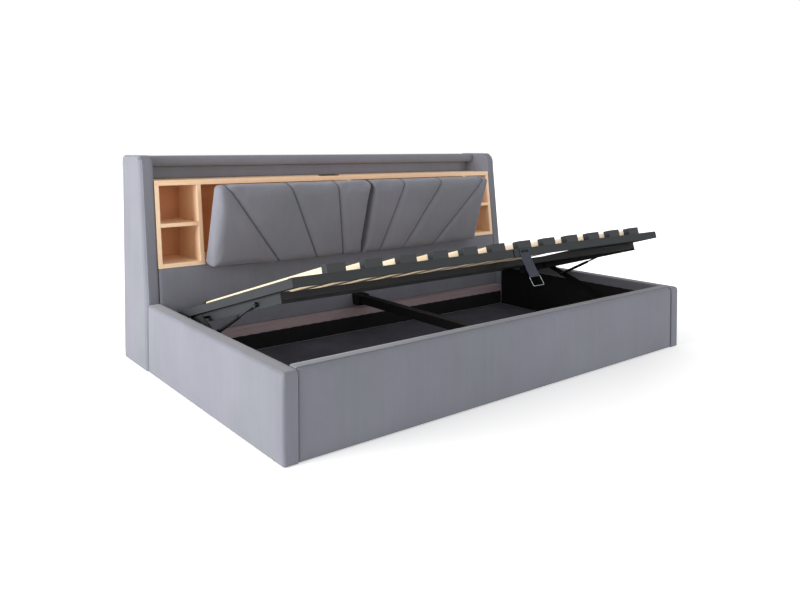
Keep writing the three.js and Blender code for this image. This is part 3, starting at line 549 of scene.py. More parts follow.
def stored(wear_and_highlight, grain=None):
    """What a hard piece stores: the wear and painted highlight of its faces and, on wood, the grain at
    its points.
    """
    layers = (("wear_and_highlight", "FACE", "FLOAT", wear_and_highlight),)
    return layers if grain is None else (("grain", "POINT", "FLOAT_VECTOR", grain), *layers)


def prism(outline, axis, low, high):
    """A side outline (in the two axes other than axis, in their order) carried between two planes."""
    outline = np.asarray(outline, float)
    count = len(outline)
    points = np.zeros((2 * count, 3))
    others = [a for a in range(3) if a != axis]
    for end, level in enumerate((low, high)):
        points[end * count:(end + 1) * count, others] = outline
        points[end * count:(end + 1) * count, axis] = level
    i = np.arange(count)
    walls = np.stack([i, (i + 1) % count, (i + 1) % count + count, i + count], axis=-1)
    return points, [list(range(count))[::-1], list(range(count, 2 * count)), *walls.tolist()]


def boards(name, material, slot, shapes, nodes, width=0.9):
    """One fixed piece of several boards; shapes are (outline, axis, low, high, grain axis)."""
    parts, grains = [], []
    for k, (outline, axis, low, high, along) in enumerate(shapes):
        parts.append(broken_edges(*prism(outline, axis, low, high), width))
        grains.append(grain_of(parts[-1][0], along, shift=k + 0.013 * len(name)))
    points, faces, wear_and_highlight = joined(parts)
    obj = piece(name, points, faces, 40.0, stored(wear_and_highlight, np.concatenate(grains)))
    return settle(obj, "base", material, slot, *nodes)


def box_outline(a_low, a_high, b_low, b_high):
    """A rectangle as an outline."""
    return [(a_low, b_low), (a_high, b_low), (a_high, b_high), (a_low, b_high)]


RAW_WOOD = timber("raw_wood", (180, 162, 169), (166, 148, 155), polish=0.72, flecks=0.5)
section = box_outline(LEDGE_FRONT, LEDGE_BACK, FLOOR_TOP + GAP, LEDGE_TOP)
boards("ledge_board", RAW_WOOD, "raw_board", [(section, 0, -INNER + GAP, INNER - GAP, 0)],
       ["back_ledge"])


# MIDDLE BEAM AND GLIDES
# A square steel tube runs from the footboard to a cast bracket screwed to the headboard; both are black
# powder coat. Four low plastic glides carry the box.
def coated(name, rgb, rough=0.42, shine=0.4, wear_highlight_gain=1.5):
    """Powder-coated steel or moulded plastic: fine peel, clouds of gloss, edges lighter as wear and
    painted highlight.
    """
    material, tree, shader = finish_nodes(name)
    base = linear(rgb)
    cloud = cloudy(tree, placed(tree), size=6.0, detail=6.0)
    peel = cloudy(tree, placed(tree), size=700.0, detail=2.0)
    colour = tones(tree, cloud, (0.3, shade(base, 0.88)), (0.7, shade(base, 1.12)))
    # Broken edges lighten over clouds by the gain: partly rubbed wear, partly painted highlight
    wear_and_highlight = put(tree, "ShaderNodeAttribute", attribute_name="wear_and_highlight").outputs["Fac"]
    wear_highlight_mix = sums(tree, "MULTIPLY", wear_and_highlight, sums(tree, "MULTIPLY_ADD", cloud, 0.8, 0.2))
    colour = blended(tree, "MIX", wear_highlight_mix, colour, shade(base, wear_highlight_gain))
    tree.links.new(colour, shader.inputs["Base Color"])
    tree.links.new(sums(tree, "MULTIPLY_ADD", cloud, 0.18, rough - 0.09), shader.inputs["Roughness"])
    shader.inputs["Specular IOR Level"].default_value = shine
    relief(tree, shader, peel, 0.14, 0.0004)
    return material


def node_shape(node, width):
    """The CAD node's own shape with flat faces made whole and sharp edges broken."""
    mesh = frame["nodes"][node].data
    points = np.zeros(len(mesh.vertices) * 3)
    mesh.vertices.foreach_get("co", points)
    points = points.reshape(-1, 3) / MM + np.array([0, BED_DEPTH / 2, 0])
    return broken_edges(points, [list(p.vertices) for p in mesh.polygons], width)


def dressed(node, material, slot, width, extra=()):
    """A piece from the CAD node's shape and further shapes fixed to it."""
    points, faces, wear_and_highlight = joined([node_shape(node, width), *extra])
    obj = piece(f"{node}_part", points, faces, 35.0, stored(wear_and_highlight))
    return settle(obj, frame["nodes"][node]["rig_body"], material, slot, node)


def turned(axis, centre, profile, sides=24, hollow=False):
    """A turned shape: radius and height pairs carried round an axis through centre.

    Its ends are closed by discs, or a hollow one's last circle by joining it to the first.
    """
    profile = np.asarray(profile, float)
    angle = np.linspace(0, 2 * math.pi, sides, endpoint=False)[None, :]
    radius, level = profile[:, :1], profile[:, 1:]
    u, v = (a for a in range(3) if a != axis)
    grid = np.zeros((len(profile), sides, 3))
    grid[..., u] = radius * np.cos(angle)
    grid[..., v] = radius * np.sin(angle)
    grid[..., axis] = level
    points = grid.reshape(-1, 3) + np.asarray(centre, float)
    faces = grid_quads(len(profile), sides, closed=True).tolist()
    i, last = np.arange(sides), len(points) - sides
    if hollow:
        faces += np.stack([last + i, last + (i + 1) % sides, (i + 1) % sides, i], axis=-1).tolist()
    else:
        faces += [i[::-1].tolist(), (last + i).tolist()]
    return points, faces, [0.0] * len(faces)


def bolt(axis, centre, size, out):
    """A domed screw head with a hexagon recess on its washer, standing out from centre along axis."""
    steps = [(1.55, 0.0), (1.55, 0.18), (1.0, 0.18), (1.0, 0.5),
             (0.8, 0.78), (0.45, 0.86), (0.42, 0.48), (0.01, 0.48)]
    return turned(axis, centre, [(r * size, out * h * size) for r, h in steps], sides=18)


BLACK_STEEL = coated("black_powder_coat", (17, 17, 18), rough=0.5, shine=0.18, wear_highlight_gain=2.2)
BLACK_PLASTIC = coated("black_plastic", (28, 28, 31), rough=0.55, shine=0.3)
BRACKET_FACE, BRACKET_SCREW_Y, BRACKET_SCREW_Z = 32.0, 1120.0, (170.0, 190.0)
dressed("centre_beam", BLACK_STEEL, "black_steel", 1.6)
dressed("beam_bracket", BLACK_STEEL, "black_steel", 1.2, extra=[
    bolt(0, (side * BRACKET_FACE, BRACKET_SCREW_Y, z), 4.5, side)
    for _, side in SIDES for z in BRACKET_SCREW_Z])
for end in ("front", "rear"):
    for label, _ in SIDES:
        dressed(f"glide_{end}_{label}", BLACK_PLASTIC, "black_plastic", 1.2)

# HEADBOARD SHELL
# Wings, top rail and back are boards in foam and velour. The wings have a softly rounded top corner and
# a welt where side and front covers are sewn together; below, a padded panel leans back with them.
SLOPE, LEAN_FROM, LEAN_EASE = 72.0 / 616.0, 289.0, 30.0
WING_TOP, WING_DEEP = 905.0, BED_DEPTH - WING_FRONT
WING_SOFT, WING_EDGE, WING_CAP = 15.0, 8.0, 12.0
FRONT_ROUND, FRONT_AHEAD, BACK_ROUND = 52.0, 56.0, 20.0
WELT, WELT_DEEP = 17.0, 1.3
HEADER_FRONT, HEADER_BACK, HEADER_BOTTOM, HEADER_TOP = 1334.7, 1430.7, 854.0, 902.0
BACK_FACE, BACK_SEAMS, BACK_HEM = 1431.0, (-INNER / 3, INNER / 3), 52.0
SHELF_TOP, SHELF_BOTTOM = 797.0, 775.0
RECESS_FRONT, RECESS_BACK = 1401.7, 1413.7
LOWER_BOTTOM, LOWER_TOP, LOWER_THICK = 135.3, 424.7, 50.0


def front_plane(z):
    """Depth of the headboard's leaning front at height z."""
    return WING_FRONT + (np.asarray(z, float) - LEAN_FROM) * SLOPE


def leaning_front(z):
    """Depth of the wings' front at height z, upright below the rails' top and leaning above.

    It grows by the slope times half the sum of the rise and the root of its square and the ease's.
    """
    rise = np.asarray(z, float) - LEAN_FROM
    return WING_FRONT + SLOPE * (rise + np.sqrt(rise ** 2 + LEAN_EASE ** 2)) / 2


def quarter_round(points, centre, ahead):
    """The square corner beyond centre (Y, Z) drawn in to a quarter circle.

    Ahead is the direction of the corner along Y. Each point moves towards the centre until its larger
    distance along the axes has become its distance in a straight line.
    """
    away = (points[:, 1:] - centre) * np.array([ahead, 1.0])
    corner = (away > 0).all(axis=1)
    share = away.max(axis=1) / np.maximum(np.linalg.norm(away, axis=1), 1e-9)
    points[corner, 1:] = centre + (points[corner, 1:] - centre) * share[corner, None]
    return points


for label, side in SIDES:
    points, quads = foam_block((INNER, 0.0, BOTTOM), (OUTER, WING_DEEP, WING_TOP),
                               (WING_EDGE, WING_SOFT, CRISP), (WING_SOFT, WING_EDGE, WING_CAP),
                               step=9.0, draws=(1.0, 4.0), seams=((), (WELT,), ()))
    welted = (points[:, 0] > (INNER + OUTER) / 2) * np.exp(-((points[:, 1] - WELT) / 1.5) ** 2)
    points[:, 0] -= WELT_DEEP * welted
    points = quarter_round(points, (FRONT_AHEAD, WING_TOP - FRONT_ROUND), -1)
    points = quarter_round(points, (WING_DEEP - BACK_ROUND, WING_TOP - BACK_ROUND), 1)
    front = leaning_front(points[:, 2])
    points[:, 1] = front + points[:, 1] * (BED_DEPTH - front) / WING_DEEP
    points *= np.array([side, 1, 1])
    # Along the welt the cover is darkened at half strength: crushed pile, and painted shade in the
    # welt's crease
    creased = (("crushed_pile_and_shade", "POINT", "FLOAT", 0.5 * welted),)
    wing = piece(f"wing_panel_{label}", points, quads, attributes=creased)
    settle(wing, "base", VELOUR, "velvet", f"wing_{label}")

points, quads = foam_block((-INNER + GAP, HEADER_FRONT, HEADER_BOTTOM),
                           (INNER - GAP, HEADER_BACK, HEADER_TOP),
                           (1.0, 20.0, 24.0), (1.0, 4.0, 18.0), roll=24.0, draws=(0.5, 1.5))
settle(piece("top_rail", points, quads), "base", VELOUR, "velvet", "header_rail")

# The back is one velour cover over a board, sewn from three widths, with a stapled hem at its foot
points, quads = foam_block((-INNER + GAP, BACK_FACE, BOTTOM), (INNER - GAP, BED_DEPTH, HEADER_TOP),
                           (2.0, 1.0, 3.0), (2.0, 6.0, 6.0), step=16.0, roll=50.0, draws=(0.0, 2.0),
                           seams=(BACK_SEAMS, (), (BACK_HEM,)))
behind = points[:, 1] > BED_DEPTH - 5
for seam in BACK_SEAMS:
    points[:, 1] -= np.where(behind, 2.2 * np.exp(-((points[:, 0] - seam) / 2.6) ** 2), 0.0)
points[:, 1] -= np.where(behind, 1.8 * np.exp(-((points[:, 2] - BACK_HEM) / 2.4) ** 2), 0.0)
settle(piece("back_cover", points, quads), "base", VELOUR, "velvet", "back_panel")

# The recess panel's velour is a lighter copy of the cover: painted light where the top rail shades the
# recess
SHADED_VELOUR = velour("shaded_velour", (138, 137, 146), sheen=0.1)
points, quads = foam_block((-INNER + GAP, RECESS_FRONT, SHELF_TOP + GAP),
                           (INNER - GAP, RECESS_BACK, HEADER_BOTTOM - GAP),
                           (1.0, 4.0, 4.0), (1.0, 1.0, 4.0), roll=14.0, draws=(0.6, 0.0), uneven=0.3)
settle(piece("recess_cover", points, quads), "base", SHADED_VELOUR, "shaded_velvet", "recess_panel")

points, quads = foam_block((-INNER + GAP, 0.0, LOWER_BOTTOM), (INNER - GAP, LOWER_THICK, LOWER_TOP),
                           (1.0, 7.0, 4.0), (1.0, 1.0, 6.0), roll=36.0, draws=(1.6, 0.0))
points[:, 1] += front_plane(points[:, 2])
settle(piece("lower_cover", points, quads), "base", VELOUR, "velvet", "lower_panel")

# CARCASS
# Beech boards behind the velour front: a full-width shelf, a cubby with one divider at each end, and a
# long compartment with a middle partition. Front edges follow the lean of the headboard, and the board
# at the back is the same beech painted darker, as painted shade inside the cubbies and compartment.
BEECH = timber("beech", (254, 221, 186), (247, 200, 154), polish=0.42, figure=0.5, flecks=0.3)
# The back board's beech is darker as painted shade for the cubbies' and compartment's insides
SHADED_BACK_BEECH = timber("beech_back_shade", (216, 156, 110), (200, 138, 92), polish=0.5, figure=0.5, flecks=0.3)
CARCASS_FOOT, CARCASS_TOP = 425.0, 774.7
BACK_INNER, BACK_OUTER = 1418.7, 1430.7
BOARD, HAIR = 18.0, 0.02
CUBBY_INNER = 794.7
COMPARTMENT = CUBBY_INNER - GAP
DIVIDER_FOOT, DIVIDER_TOP = 597.0, 613.0
SHELF_MIDDLE = (SHELF_TOP + SHELF_BOTTOM) / 2
SHELF_FRONT = float(front_plane(SHELF_MIDDLE))
SOCKET_LEFT, SOCKET_RIGHT, SOCKET_FRONT, SOCKET_BACK = -150.0, -54.0, 1222.1, 1266.1
SOCKET_FOOT = 783.0


def leaning(bottom, top):
    """Side outline of a board whose front edge follows the headboard's lean."""
    back, low, high = BACK_INNER - GAP, float(front_plane(bottom)), float(front_plane(top))
    return [(low, bottom), (back, bottom), (back, top), (high, top)]


def lying(front, back, left, right, foot=SHELF_BOTTOM, top=SHELF_TOP):
    """A shape for a board lying along the bed."""
    return box_outline(front, back, foot, top), 0, left, right, 0


boards("shelf", BEECH, "beech", [
    lying(SHELF_FRONT, BACK_OUTER, -INNER + GAP, SOCKET_LEFT),
    lying(SHELF_FRONT, BACK_OUTER, SOCKET_RIGHT, INNER - GAP),
    lying(SHELF_FRONT, SOCKET_FRONT, SOCKET_LEFT, SOCKET_RIGHT),
    lying(SOCKET_BACK, BACK_OUTER, SOCKET_LEFT, SOCKET_RIGHT),
    lying(SOCKET_FRONT, SOCKET_BACK, SOCKET_LEFT, SOCKET_RIGHT, top=SOCKET_FOOT),
], ["shelf_board"], width=0.05)
boards("carcass_board", SHADED_BACK_BEECH, "beech",
       [lying(BACK_INNER, BACK_OUTER, -INNER + GAP, INNER - GAP, CARCASS_FOOT, CARCASS_TOP)],
       ["carcass_back"])
for label, side in SIDES:
    near, far = CUBBY_INNER, INNER - GAP
    walls = [(leaning(CARCASS_FOOT, CARCASS_TOP), 0, *sorted((side * near, side * (near + BOARD))), 2),
             (leaning(CARCASS_FOOT, CARCASS_TOP), 0, *sorted((side * (far - BOARD), side * far)), 2),
             (leaning(CARCASS_FOOT, CARCASS_FOOT + BOARD), 0,
              *sorted((side * (near + BOARD + HAIR), side * (far - BOARD - HAIR))), 0)]
    boards(f"cubby_case_{label}", BEECH, "beech", walls, [f"cubby_{label}"])
    boards(f"cubby_shelf_{label}", BEECH, "beech",
           [(leaning(DIVIDER_FOOT, DIVIDER_TOP), 0,
             *sorted((side * (near + BOARD + GAP), side * (far - BOARD - GAP))), 0)],
           [f"cubby_divider_{label}"])
boards("compartment_floor", BEECH, "beech",
       [(leaning(CARCASS_FOOT, CARCASS_FOOT + BOARD), 0, -COMPARTMENT, COMPARTMENT, 0)],
       ["compartment_board"])
boards("partition", BEECH, "beech",
       [(leaning(CARCASS_FOOT + BOARD + GAP, CARCASS_TOP), 0, -BOARD / 2, BOARD / 2, 2)],
       ["compartment_partition"])

# SOCKET
# A black charging module let into the shelf: a raised frame with a sunk panel, two flat charging slots
# and a round inlet with its two pin holes.
x0, x1, y0, y1 = SOCKET_LEFT + GAP, SOCKET_RIGHT - GAP, SOCKET_FRONT + GAP, SOCKET_BACK - GAP
RIM, RIM_TOP, PANEL_TOP = 4.0, 802.0, 799.6
SLOTS_AT, SLOT_SPAN, INLET_AT, PIN_AT = (16.0, 34.0), 42.0, 26.0, 6.0
SLOT_PARTS = ((-1.5, 1.5, 12), (-5.0, -4.2, 11), (4.2, 5.0, 11))
INLET_PROFILE = [(15.5, 0), (15.5, 1.6), (14.3, 2.1), (13.4, 1.6), (13.2, 0.3), (0.01, 0.3)]
socket_boxes = [(x0, x1, y0, y1, SOCKET_FOOT + GAP, PANEL_TOP)]
socket_boxes += [(*flat, PANEL_TOP, RIM_TOP) for flat in (
    (x0, x1, y0, y0 + RIM), (x0, x1, y1 - RIM, y1),
    (x0, x0 + RIM, y0 + RIM, y1 - RIM), (x1 - RIM, x1, y0 + RIM, y1 - RIM))]
for x in (x0 + at for at in SLOTS_AT):
    for low_x, high_x, inset in SLOT_PARTS:
        socket_boxes.append((x + low_x, x + high_x, y0 + inset, y0 + SLOT_SPAN - inset,
                             PANEL_TOP - 0.1, PANEL_TOP + 0.7))
socket_parts = [broken_edges(*prism(box_outline(*b[:4]), 2, *b[4:]), 0.25) for b in socket_boxes]
middle = np.array([x1 - INLET_AT, (y0 + y1) / 2, PANEL_TOP])
socket_parts.append(turned(2, middle, INLET_PROFILE, 40))
for dx in (-PIN_AT, PIN_AT):
    socket_parts.append(turned(2, middle + np.array([dx, 0, 0]),
                               [(3.4, 0.2), (3.4, 0.9), (2.6, 0.9), (2.5, 0.35), (0.01, 0.35)], 16))
points, faces, wear_and_highlight = joined(socket_parts)
settle(piece("charging_module", points, faces, 35.0, stored(wear_and_highlight)), "base",
       BLACK_PLASTIC, "black_plastic", "socket_module")

# FLAPS
# Each flap is a beech board on a long steel hinge at the headboard's front edge. A thick boxed cushion
# of foam in velour is screwed to it; three sewn channels fan out from the middle of the bed.
FLAP_Y, FLAP_Z = 1158.417, 417.0
FLAP_LEAN = math.radians(16.0)
FLAP_IN, FLAP_OUT = 2.0, 793.4
FLAP_HIGH = (SHELF_MIDDLE - FLAP_Z) / math.cos(math.atan(SLOPE))
CUSHION_BACK, CUSHION_THICK, CUSHION_FOOT = -8.8, 58.0, 4.0
COVER_OUT, COVER_HIGH = FLAP_OUT + 7.0, FLAP_HIGH + 9.0
HEM_BACK, HEM_WIDE, HEM_THICK = 3.4, 18.0, 1.2
BOARD_FOOT, BOARD_FRONT = 7.0, -8.5
CHANNEL_TOP, CHANNEL_FOOT, CHANNEL_MARGIN = (0.252, 0.567, 0.945), (0.135, 0.322, 0.575), 44.0
VOXEL, CLOTH_FRAMES, CLOTH_LIMIT, EVEN_ROUNDS = 0.0056, 20, 7.0, 7


def bright(name, rgb, rough=0.26):
    """Zinc-plated steel: cloudy bloom under fine drawn scratches."""
    material, tree, shader = finish_nodes(name)
    cloud = cloudy(tree, placed(tree), size=60.0, detail=5.0)
    scratch = cloudy(tree, placed(tree, (70.0, 900.0, 900.0)), detail=2.0)
    colour = tones(tree, cloud, (0.3, shade(linear(rgb), 0.82)), (0.7, linear(rgb)))
    tree.links.new(colour, shader.inputs["Base Color"])
    tree.links.new(sums(tree, "MULTIPLY_ADD", scratch, 0.25, rough - 0.1), shader.inputs["Roughness"])
    shader.inputs["Metallic"].default_value = 1.0
    relief(tree, shader, scratch, 0.08, 0.0003)
    return material


def tilt(points, angle, y, z):
    """Points of a local frame (X, Y, Z from the turning axis) turned about X and set in the bed."""
    points = np.asarray(points, float)
    c, s = math.cos(angle), math.sin(angle)
    return np.column_stack([points[:, 0], points[:, 1] * c - points[:, 2] * s + y,
                            points[:, 1] * s + points[:, 2] * c + z])


def channel_distance(points, side):
    """Distance in the cushion's face to the nearest sewn line, and the length along that line.

    Each line runs from a share of the foot to a share of the top; across and along it are the two
    products of the way from its foot with the line's own direction.
    """
    width, height = FLAP_OUT - FLAP_IN, FLAP_HIGH - CUSHION_FOOT
    x, z = points[:, 0] * side - FLAP_IN, points[:, 2] - CUSHION_FOOT
    best, run = np.full(len(points), 1e3), np.zeros(len(points))
    for top_share, foot_share in zip(CHANNEL_TOP, CHANNEL_FOOT):
        top, foot = min(top_share * width, width - CHANNEL_MARGIN), foot_share * width
        along = np.array([top - foot, height])
        along /= np.linalg.norm(along)
        d = np.abs((x - foot) * along[1] - z * along[0])
        run = np.where(d < best, (x - foot) * along[0] + z * along[1], run)
        best = np.minimum(d, best)
    return best, run


def applied(obj, kind, **values):
    """The object's mesh with one modifier applied."""
    modifier = obj.modifiers.new(kind.title(), kind)
    for key, value in values.items():
        setattr(modifier, key, value)
    shown = obj.evaluated_get(bpy.context.evaluated_depsgraph_get())
    obj.data = bpy.data.meshes.new_from_object(shown)
    obj.modifiers.clear()


def mesh_points(mesh, name="co"):
    """Vertex positions or normals as an array."""
    values = np.zeros(len(mesh.vertices) * 3)
    mesh.vertices.foreach_get(name, values)
    return values.reshape(-1, 3)


def evened(mesh, values, rounds):
    """Values at the vertices, each time replaced by the mean of their neighbours' and their own."""
    pairs = np.zeros(len(mesh.edges) * 2, int)
    mesh.edges.foreach_get("vertices", pairs)
    one, other = pairs.reshape(-1, 2).T
    count = 1 + np.bincount(one, minlength=len(values)) + np.bincount(other, minlength=len(values))
    for _ in range(rounds):
        total = values.copy()
        for axis in range(values.shape[1]):
            total[:, axis] += np.bincount(one, values[other, axis], len(values))
            total[:, axis] += np.bincount(other, values[one, axis], len(values))
        values = total / count[:, None]
    return values


def blown_up(obj, rest, held):
    """The rest points after a pressure run of cloth, each moved by the limit at most.

    The foam under the cover allows no small creases, so the moves are evened out between neighbours.
    """
    group = obj.vertex_groups.new(name="held")
    group.add(np.nonzero(held)[0].tolist(), 1.0, "REPLACE")
    cloth = obj.modifiers.new("Cloth", "CLOTH")
    settings = cloth.settings
    settings.quality = 4
    settings.mass = 0.3
    settings.tension_stiffness = settings.compression_stiffness = 14
    settings.shear_stiffness = 6
    settings.bending_stiffness = 0.4
    settings.use_pressure = True
    settings.uniform_pressure_force = 4.0
    settings.shrink_min = -0.012
    settings.vertex_group_mass = "held"
    settings.effector_weights.gravity = 0.0
    cloth.collision_settings.use_collision = False
    cloth.point_cache.frame_start, cloth.point_cache.frame_end = 1, CLOTH_FRAMES
    for step in range(1, CLOTH_FRAMES + 1):
        bpy.context.scene.frame_set(step)
    shown = obj.evaluated_get(bpy.context.evaluated_depsgraph_get())
    shift = mesh_points(shown.data) / MM - rest
    length = np.linalg.norm(shift, axis=1, keepdims=True)
    obj.modifiers.clear()
    bpy.context.scene.frame_set(1)
    capped = shift / np.maximum(length, 1e-9) * np.minimum(length, CLOTH_LIMIT)
    return rest + evened(obj.data, capped, EVEN_ROUNDS)


def cushion(name, side):
    """A boxed cushion whose cover wraps the board.

    A slightly small rounded block is remeshed and blown up by a cloth run, held at its back and along
    the sewn lines. The lines are then sunk in by a wide and a narrow bell of the distance, with
    small puckers that run as a sine along them, and a stored value darkens the cover along them, for
    the crushed pile and as painted shade in the channels. Behind, the cover folds over the board as a
    hem, and the board fills the hollow inside it.
    """
    face = CUSHION_BACK - CUSHION_THICK
    points, quads = foam_block((FLAP_IN + 2, face + 6, CUSHION_FOOT + 4),
                               (COVER_OUT - 4, HEM_BACK, COVER_HIGH - 3),
                               (7.0, 20.0, 18.0), (22.0, 2.0, 18.0), draws=(1.0, 0.0), uneven=0.0)
    points = points * np.array([side, 1, 1]) + np.array([0, BED_DEPTH / 2, 0])
    obj = piece(name, points, quads)
    applied(obj, "REMESH", mode="VOXEL", voxel_size=VOXEL)
    rest = mesh_points(obj.data) / MM
    moved = rest
    near, _ = channel_distance(rest, side)
    held = (rest[:, 1] > CUSHION_BACK - 2) | ((near < 4.5) & (rest[:, 1] < CUSHION_BACK - 10))
    moved = blown_up(obj, rest, held)
    moved[:, 1] = np.maximum(moved[:, 1], face - 4)
    obj.data.vertices.foreach_set("co", (moved * MM).astype(np.float32).ravel())
    obj.data.update()
    applied(obj, "SUBSURF", levels=1, render_levels=1)
    points, normals = mesh_points(obj.data) / MM, mesh_points(obj.data, "normal")
    near, run = channel_distance(points, side)
    open_side = smooth_step((HEM_BACK - 4 - points[:, 1]) / 22)
    pucker = 0.22 * np.sin(2 * math.pi * run / 13.0) * np.exp(-((near - 7) / 6) ** 2)
    press = 3.0 * np.exp(-(near / 12.0) ** 2) + 6.0 * np.exp(-(near / 2.5) ** 2)
    points -= normals * (open_side * (press - pucker))[:, None]
    points[:, 1] = np.minimum(points[:, 1], HEM_BACK)
    points[:, 0] = side * np.clip(points[:, 0] * side, FLAP_IN - 0.5, COVER_OUT)
    by_board = points[:, 1] > CUSHION_BACK - 3
    points[:, 2] = np.where(by_board, np.maximum(points[:, 2], BOARD_FOOT), points[:, 2])
    from_middle, from_end = points[:, 0] * side - FLAP_IN, COVER_OUT - points[:, 0] * side
    from_edge = np.minimum(np.minimum(from_middle, from_end), COVER_HIGH - points[:, 2])
    hollow = (points[:, 1] > HEM_BACK - 3) & (from_edge > HEM_WIDE)
    points[:, 1] = np.where(hollow, HEM_BACK - HEM_THICK * 2, points[:, 1])
    points = to_row(tilt(points, FLAP_LEAN, FLAP_Y, FLAP_Z))
    obj.data.vertices.foreach_set("co", points.astype(np.float32).ravel())
    # The cover darkens along the sewn lines: crushed pile, and painted shade in the channels
    crushed_pile_and_shade = obj.data.attributes.new("crushed_pile_and_shade", "FLOAT", "POINT")
    crushed_pile_and_shade.data.foreach_set("value", (open_side * np.exp(-(near / 2.6) ** 2)).astype(np.float32))
    obj.data.update()
    obj.data.shade_smooth()
    return obj


ZINC = bright("zinc", (198, 200, 204))
KNUCKLE_SHARES, KNUCKLE_LONG = (0.05, 0.5), 70.0
BARREL = [(2.6, 0), (4.6, 0), (5.0, 0.4),
          (5.0, KNUCKLE_LONG - 0.4), (4.6, KNUCKLE_LONG), (2.6, KNUCKLE_LONG)]
for label, side in SIDES:
    dressed(f"flap_hinge_{label}", ZINC, "bright_steel", 0.25)
    pad = cushion(f"cushion_{label}", side)
    settle(pad, f"{label}_flap", VELOUR, "velvet", f"flap_cushion_{label}")
    near, far = sorted((side * FLAP_IN, side * FLAP_OUT))
    outline = box_outline(BOARD_FRONT, HEM_BACK - HEM_THICK, BOARD_FOOT + GAP, FLAP_HIGH - HEM_WIDE)
    points, faces, wear_and_highlight = broken_edges(*prism(outline, 0, near + HEM_WIDE, far - HEM_WIDE), 0.9)
    grain = grain_of(points, 0, 3.0)
    board = piece(f"flap_panel_{label}", tilt(points, FLAP_LEAN, FLAP_Y, FLAP_Z), faces, 35.0,
                  stored(wear_and_highlight, grain))
    settle(board, f"{label}_flap", BEECH, "beech", f"flap_board_{label}")
    parts = []
    for share in KNUCKLE_SHARES:
        start = near + share * (far - near - KNUCKLE_LONG) + KNUCKLE_LONG + 1
        parts.append(turned(0, (start, 0.0, 0.0), BARREL, hollow=True))
        leaf = box_outline(HEM_BACK - HEM_THICK - 0.3, HEM_BACK - 0.2, 2.0, 24.0)
        parts.append(broken_edges(*prism(leaf, 0, start, start + KNUCKLE_LONG), 0.2))
    points, faces, wear_and_highlight = joined(parts)
    points = tilt(points, FLAP_LEAN, FLAP_Y, FLAP_Z)
    knuckles = piece(f"flap_knuckles_{label}", points, faces, 35.0)
    settle(knuckles, f"{label}_flap", ZINC, "bright_steel")

# PLATFORM FRAME
# A steel frame of two halves joined at the middle, slate-grey powder coat; an angle is welded under each
# end, and a black crossbar ties their front ends together.
LIFT_TILT = math.radians(16.3)
DECK_Y, DECK_Z = 79.9, 541.1
SLATE = coated("slate_powder_coat", (44, 47, 49), rough=0.55, shine=0.2)
dressed("platform_frame", SLATE, "platform_steel", 1.6)
dressed("crossbar", BLACK_STEEL, "black_steel", 2.0)
for label, side in SIDES:
    dressed(f"lift_beam_{label}", SLATE, "platform_steel", 0.8)

# SLATS
# Twelve straight boards of layered beech, their ends in moulded plastic caps. The caps clip over the
# frame's two long sides.
SLAT_WOOD = timber("slat_beech", (243, 226, 199), (230, 206, 170), polish=0.45, flecks=0.3, plies=380.0)
GREY_PLASTIC = coated("grey_plastic", (46, 49, 52), rough=0.55, shine=0.3, wear_highlight_gain=2.2)
for row_name in ("slat_holders_front", "slat_holders_rear"):
    dressed(row_name, GREY_PLASTIC, "grey_plastic", 2.0)
for k in range(1, 13):
    points, faces, wear_and_highlight = node_shape(f"slat_{k:02d}", 0.6)
    level = tilt(points - np.array([0, DECK_Y, DECK_Z]), LIFT_TILT, 0.0, 0.0)
    grain = grain_of(level, 1, k)
    slat = piece(f"slat_board_{k:02d}", points, faces, 35.0, stored(wear_and_highlight, grain))
    settle(slat, "platform", SLAT_WOOD, "slat_wood", f"slat_{k:02d}")

# PULL STRAP
# Grey ribbed webbing, screwed to the front rail through a small plate, bent outward, and folded round
# the upper bar of a wire ring to pull by. The folded end is stitched down behind.
STRAP_LEFT, STRAP_RIGHT, STRAP_HALF = 33.0, 87.0, 1.0
RIB_PITCH, SELVAGE = 4.5, 1.2
PLATE_INSET, STRAP_SCREW_INSET, PLATE_FACE_S = 6.0, 13.0, -3.9
RING_LEFT, RING_RIGHT, RING_LONG, RING_ROUND, WIRE = 30.3, 89.7, 40.5, 4.0, 1.25
RING_BAR = np.array([-26.2, -112.9])
HANG, FACING = np.array([-0.327, -0.945]), np.array([-0.945, 0.327])


def on_deck(points):
    """Points of the platform's own frame (X, from the front edge, above the frame) set in the bed."""
    return tilt(points, -LIFT_TILT, DECK_Y, DECK_Z)


def eased(line, rounds=2):
    """A line of points with its corners cut: each leg gives the points at its quarters."""
    for _ in range(rounds):
        cut = np.stack([line[:-1] * 0.75 + line[1:] * 0.25, line[:-1] * 0.25 + line[1:] * 0.75], axis=1)
        line = np.concatenate([line[:1], cut.reshape(-1, 2), line[-1:]])
    return line


def webbing(route):
    """Flat ribbed webbing along a route (from the front edge, above the frame), ends closed.

    The section's half thickness swells by a cosine across the ribs and closes in a half circle at each
    selvage. It stands square to the route at every point.
    """
    across = np.linspace(STRAP_LEFT, STRAP_RIGHT, 85)
    from_side = np.minimum(across - STRAP_LEFT, STRAP_RIGHT - across)
    selvage = np.sqrt(np.clip(1 - (1 - from_side / SELVAGE).clip(0) ** 2, 0.02, 1))
    half = STRAP_HALF * selvage * (1 + 0.20 * np.cos(2 * math.pi * across / RIB_PITCH))
    section = np.concatenate([np.stack([across, half], axis=1), np.stack([across, -half], axis=1)[::-1]])
    ahead = np.gradient(route, axis=0)
    ahead /= np.linalg.norm(ahead, axis=1, keepdims=True)
    square = np.stack([ahead[:, 1], -ahead[:, 0]], axis=1)
    grid = np.zeros((len(route), len(section), 3))
    grid[..., 0] = section[:, 0]
    grid[..., 1:] = route[:, None] + square[:, None] * section[:, 1][None, :, None]
    count, last = len(section), (len(route) - 1) * len(section)
    faces = grid_quads(len(route), count, closed=True).tolist()
    faces += [list(range(count))[::-1], list(range(last, last + count))]
    return grid.reshape(-1, 3), faces


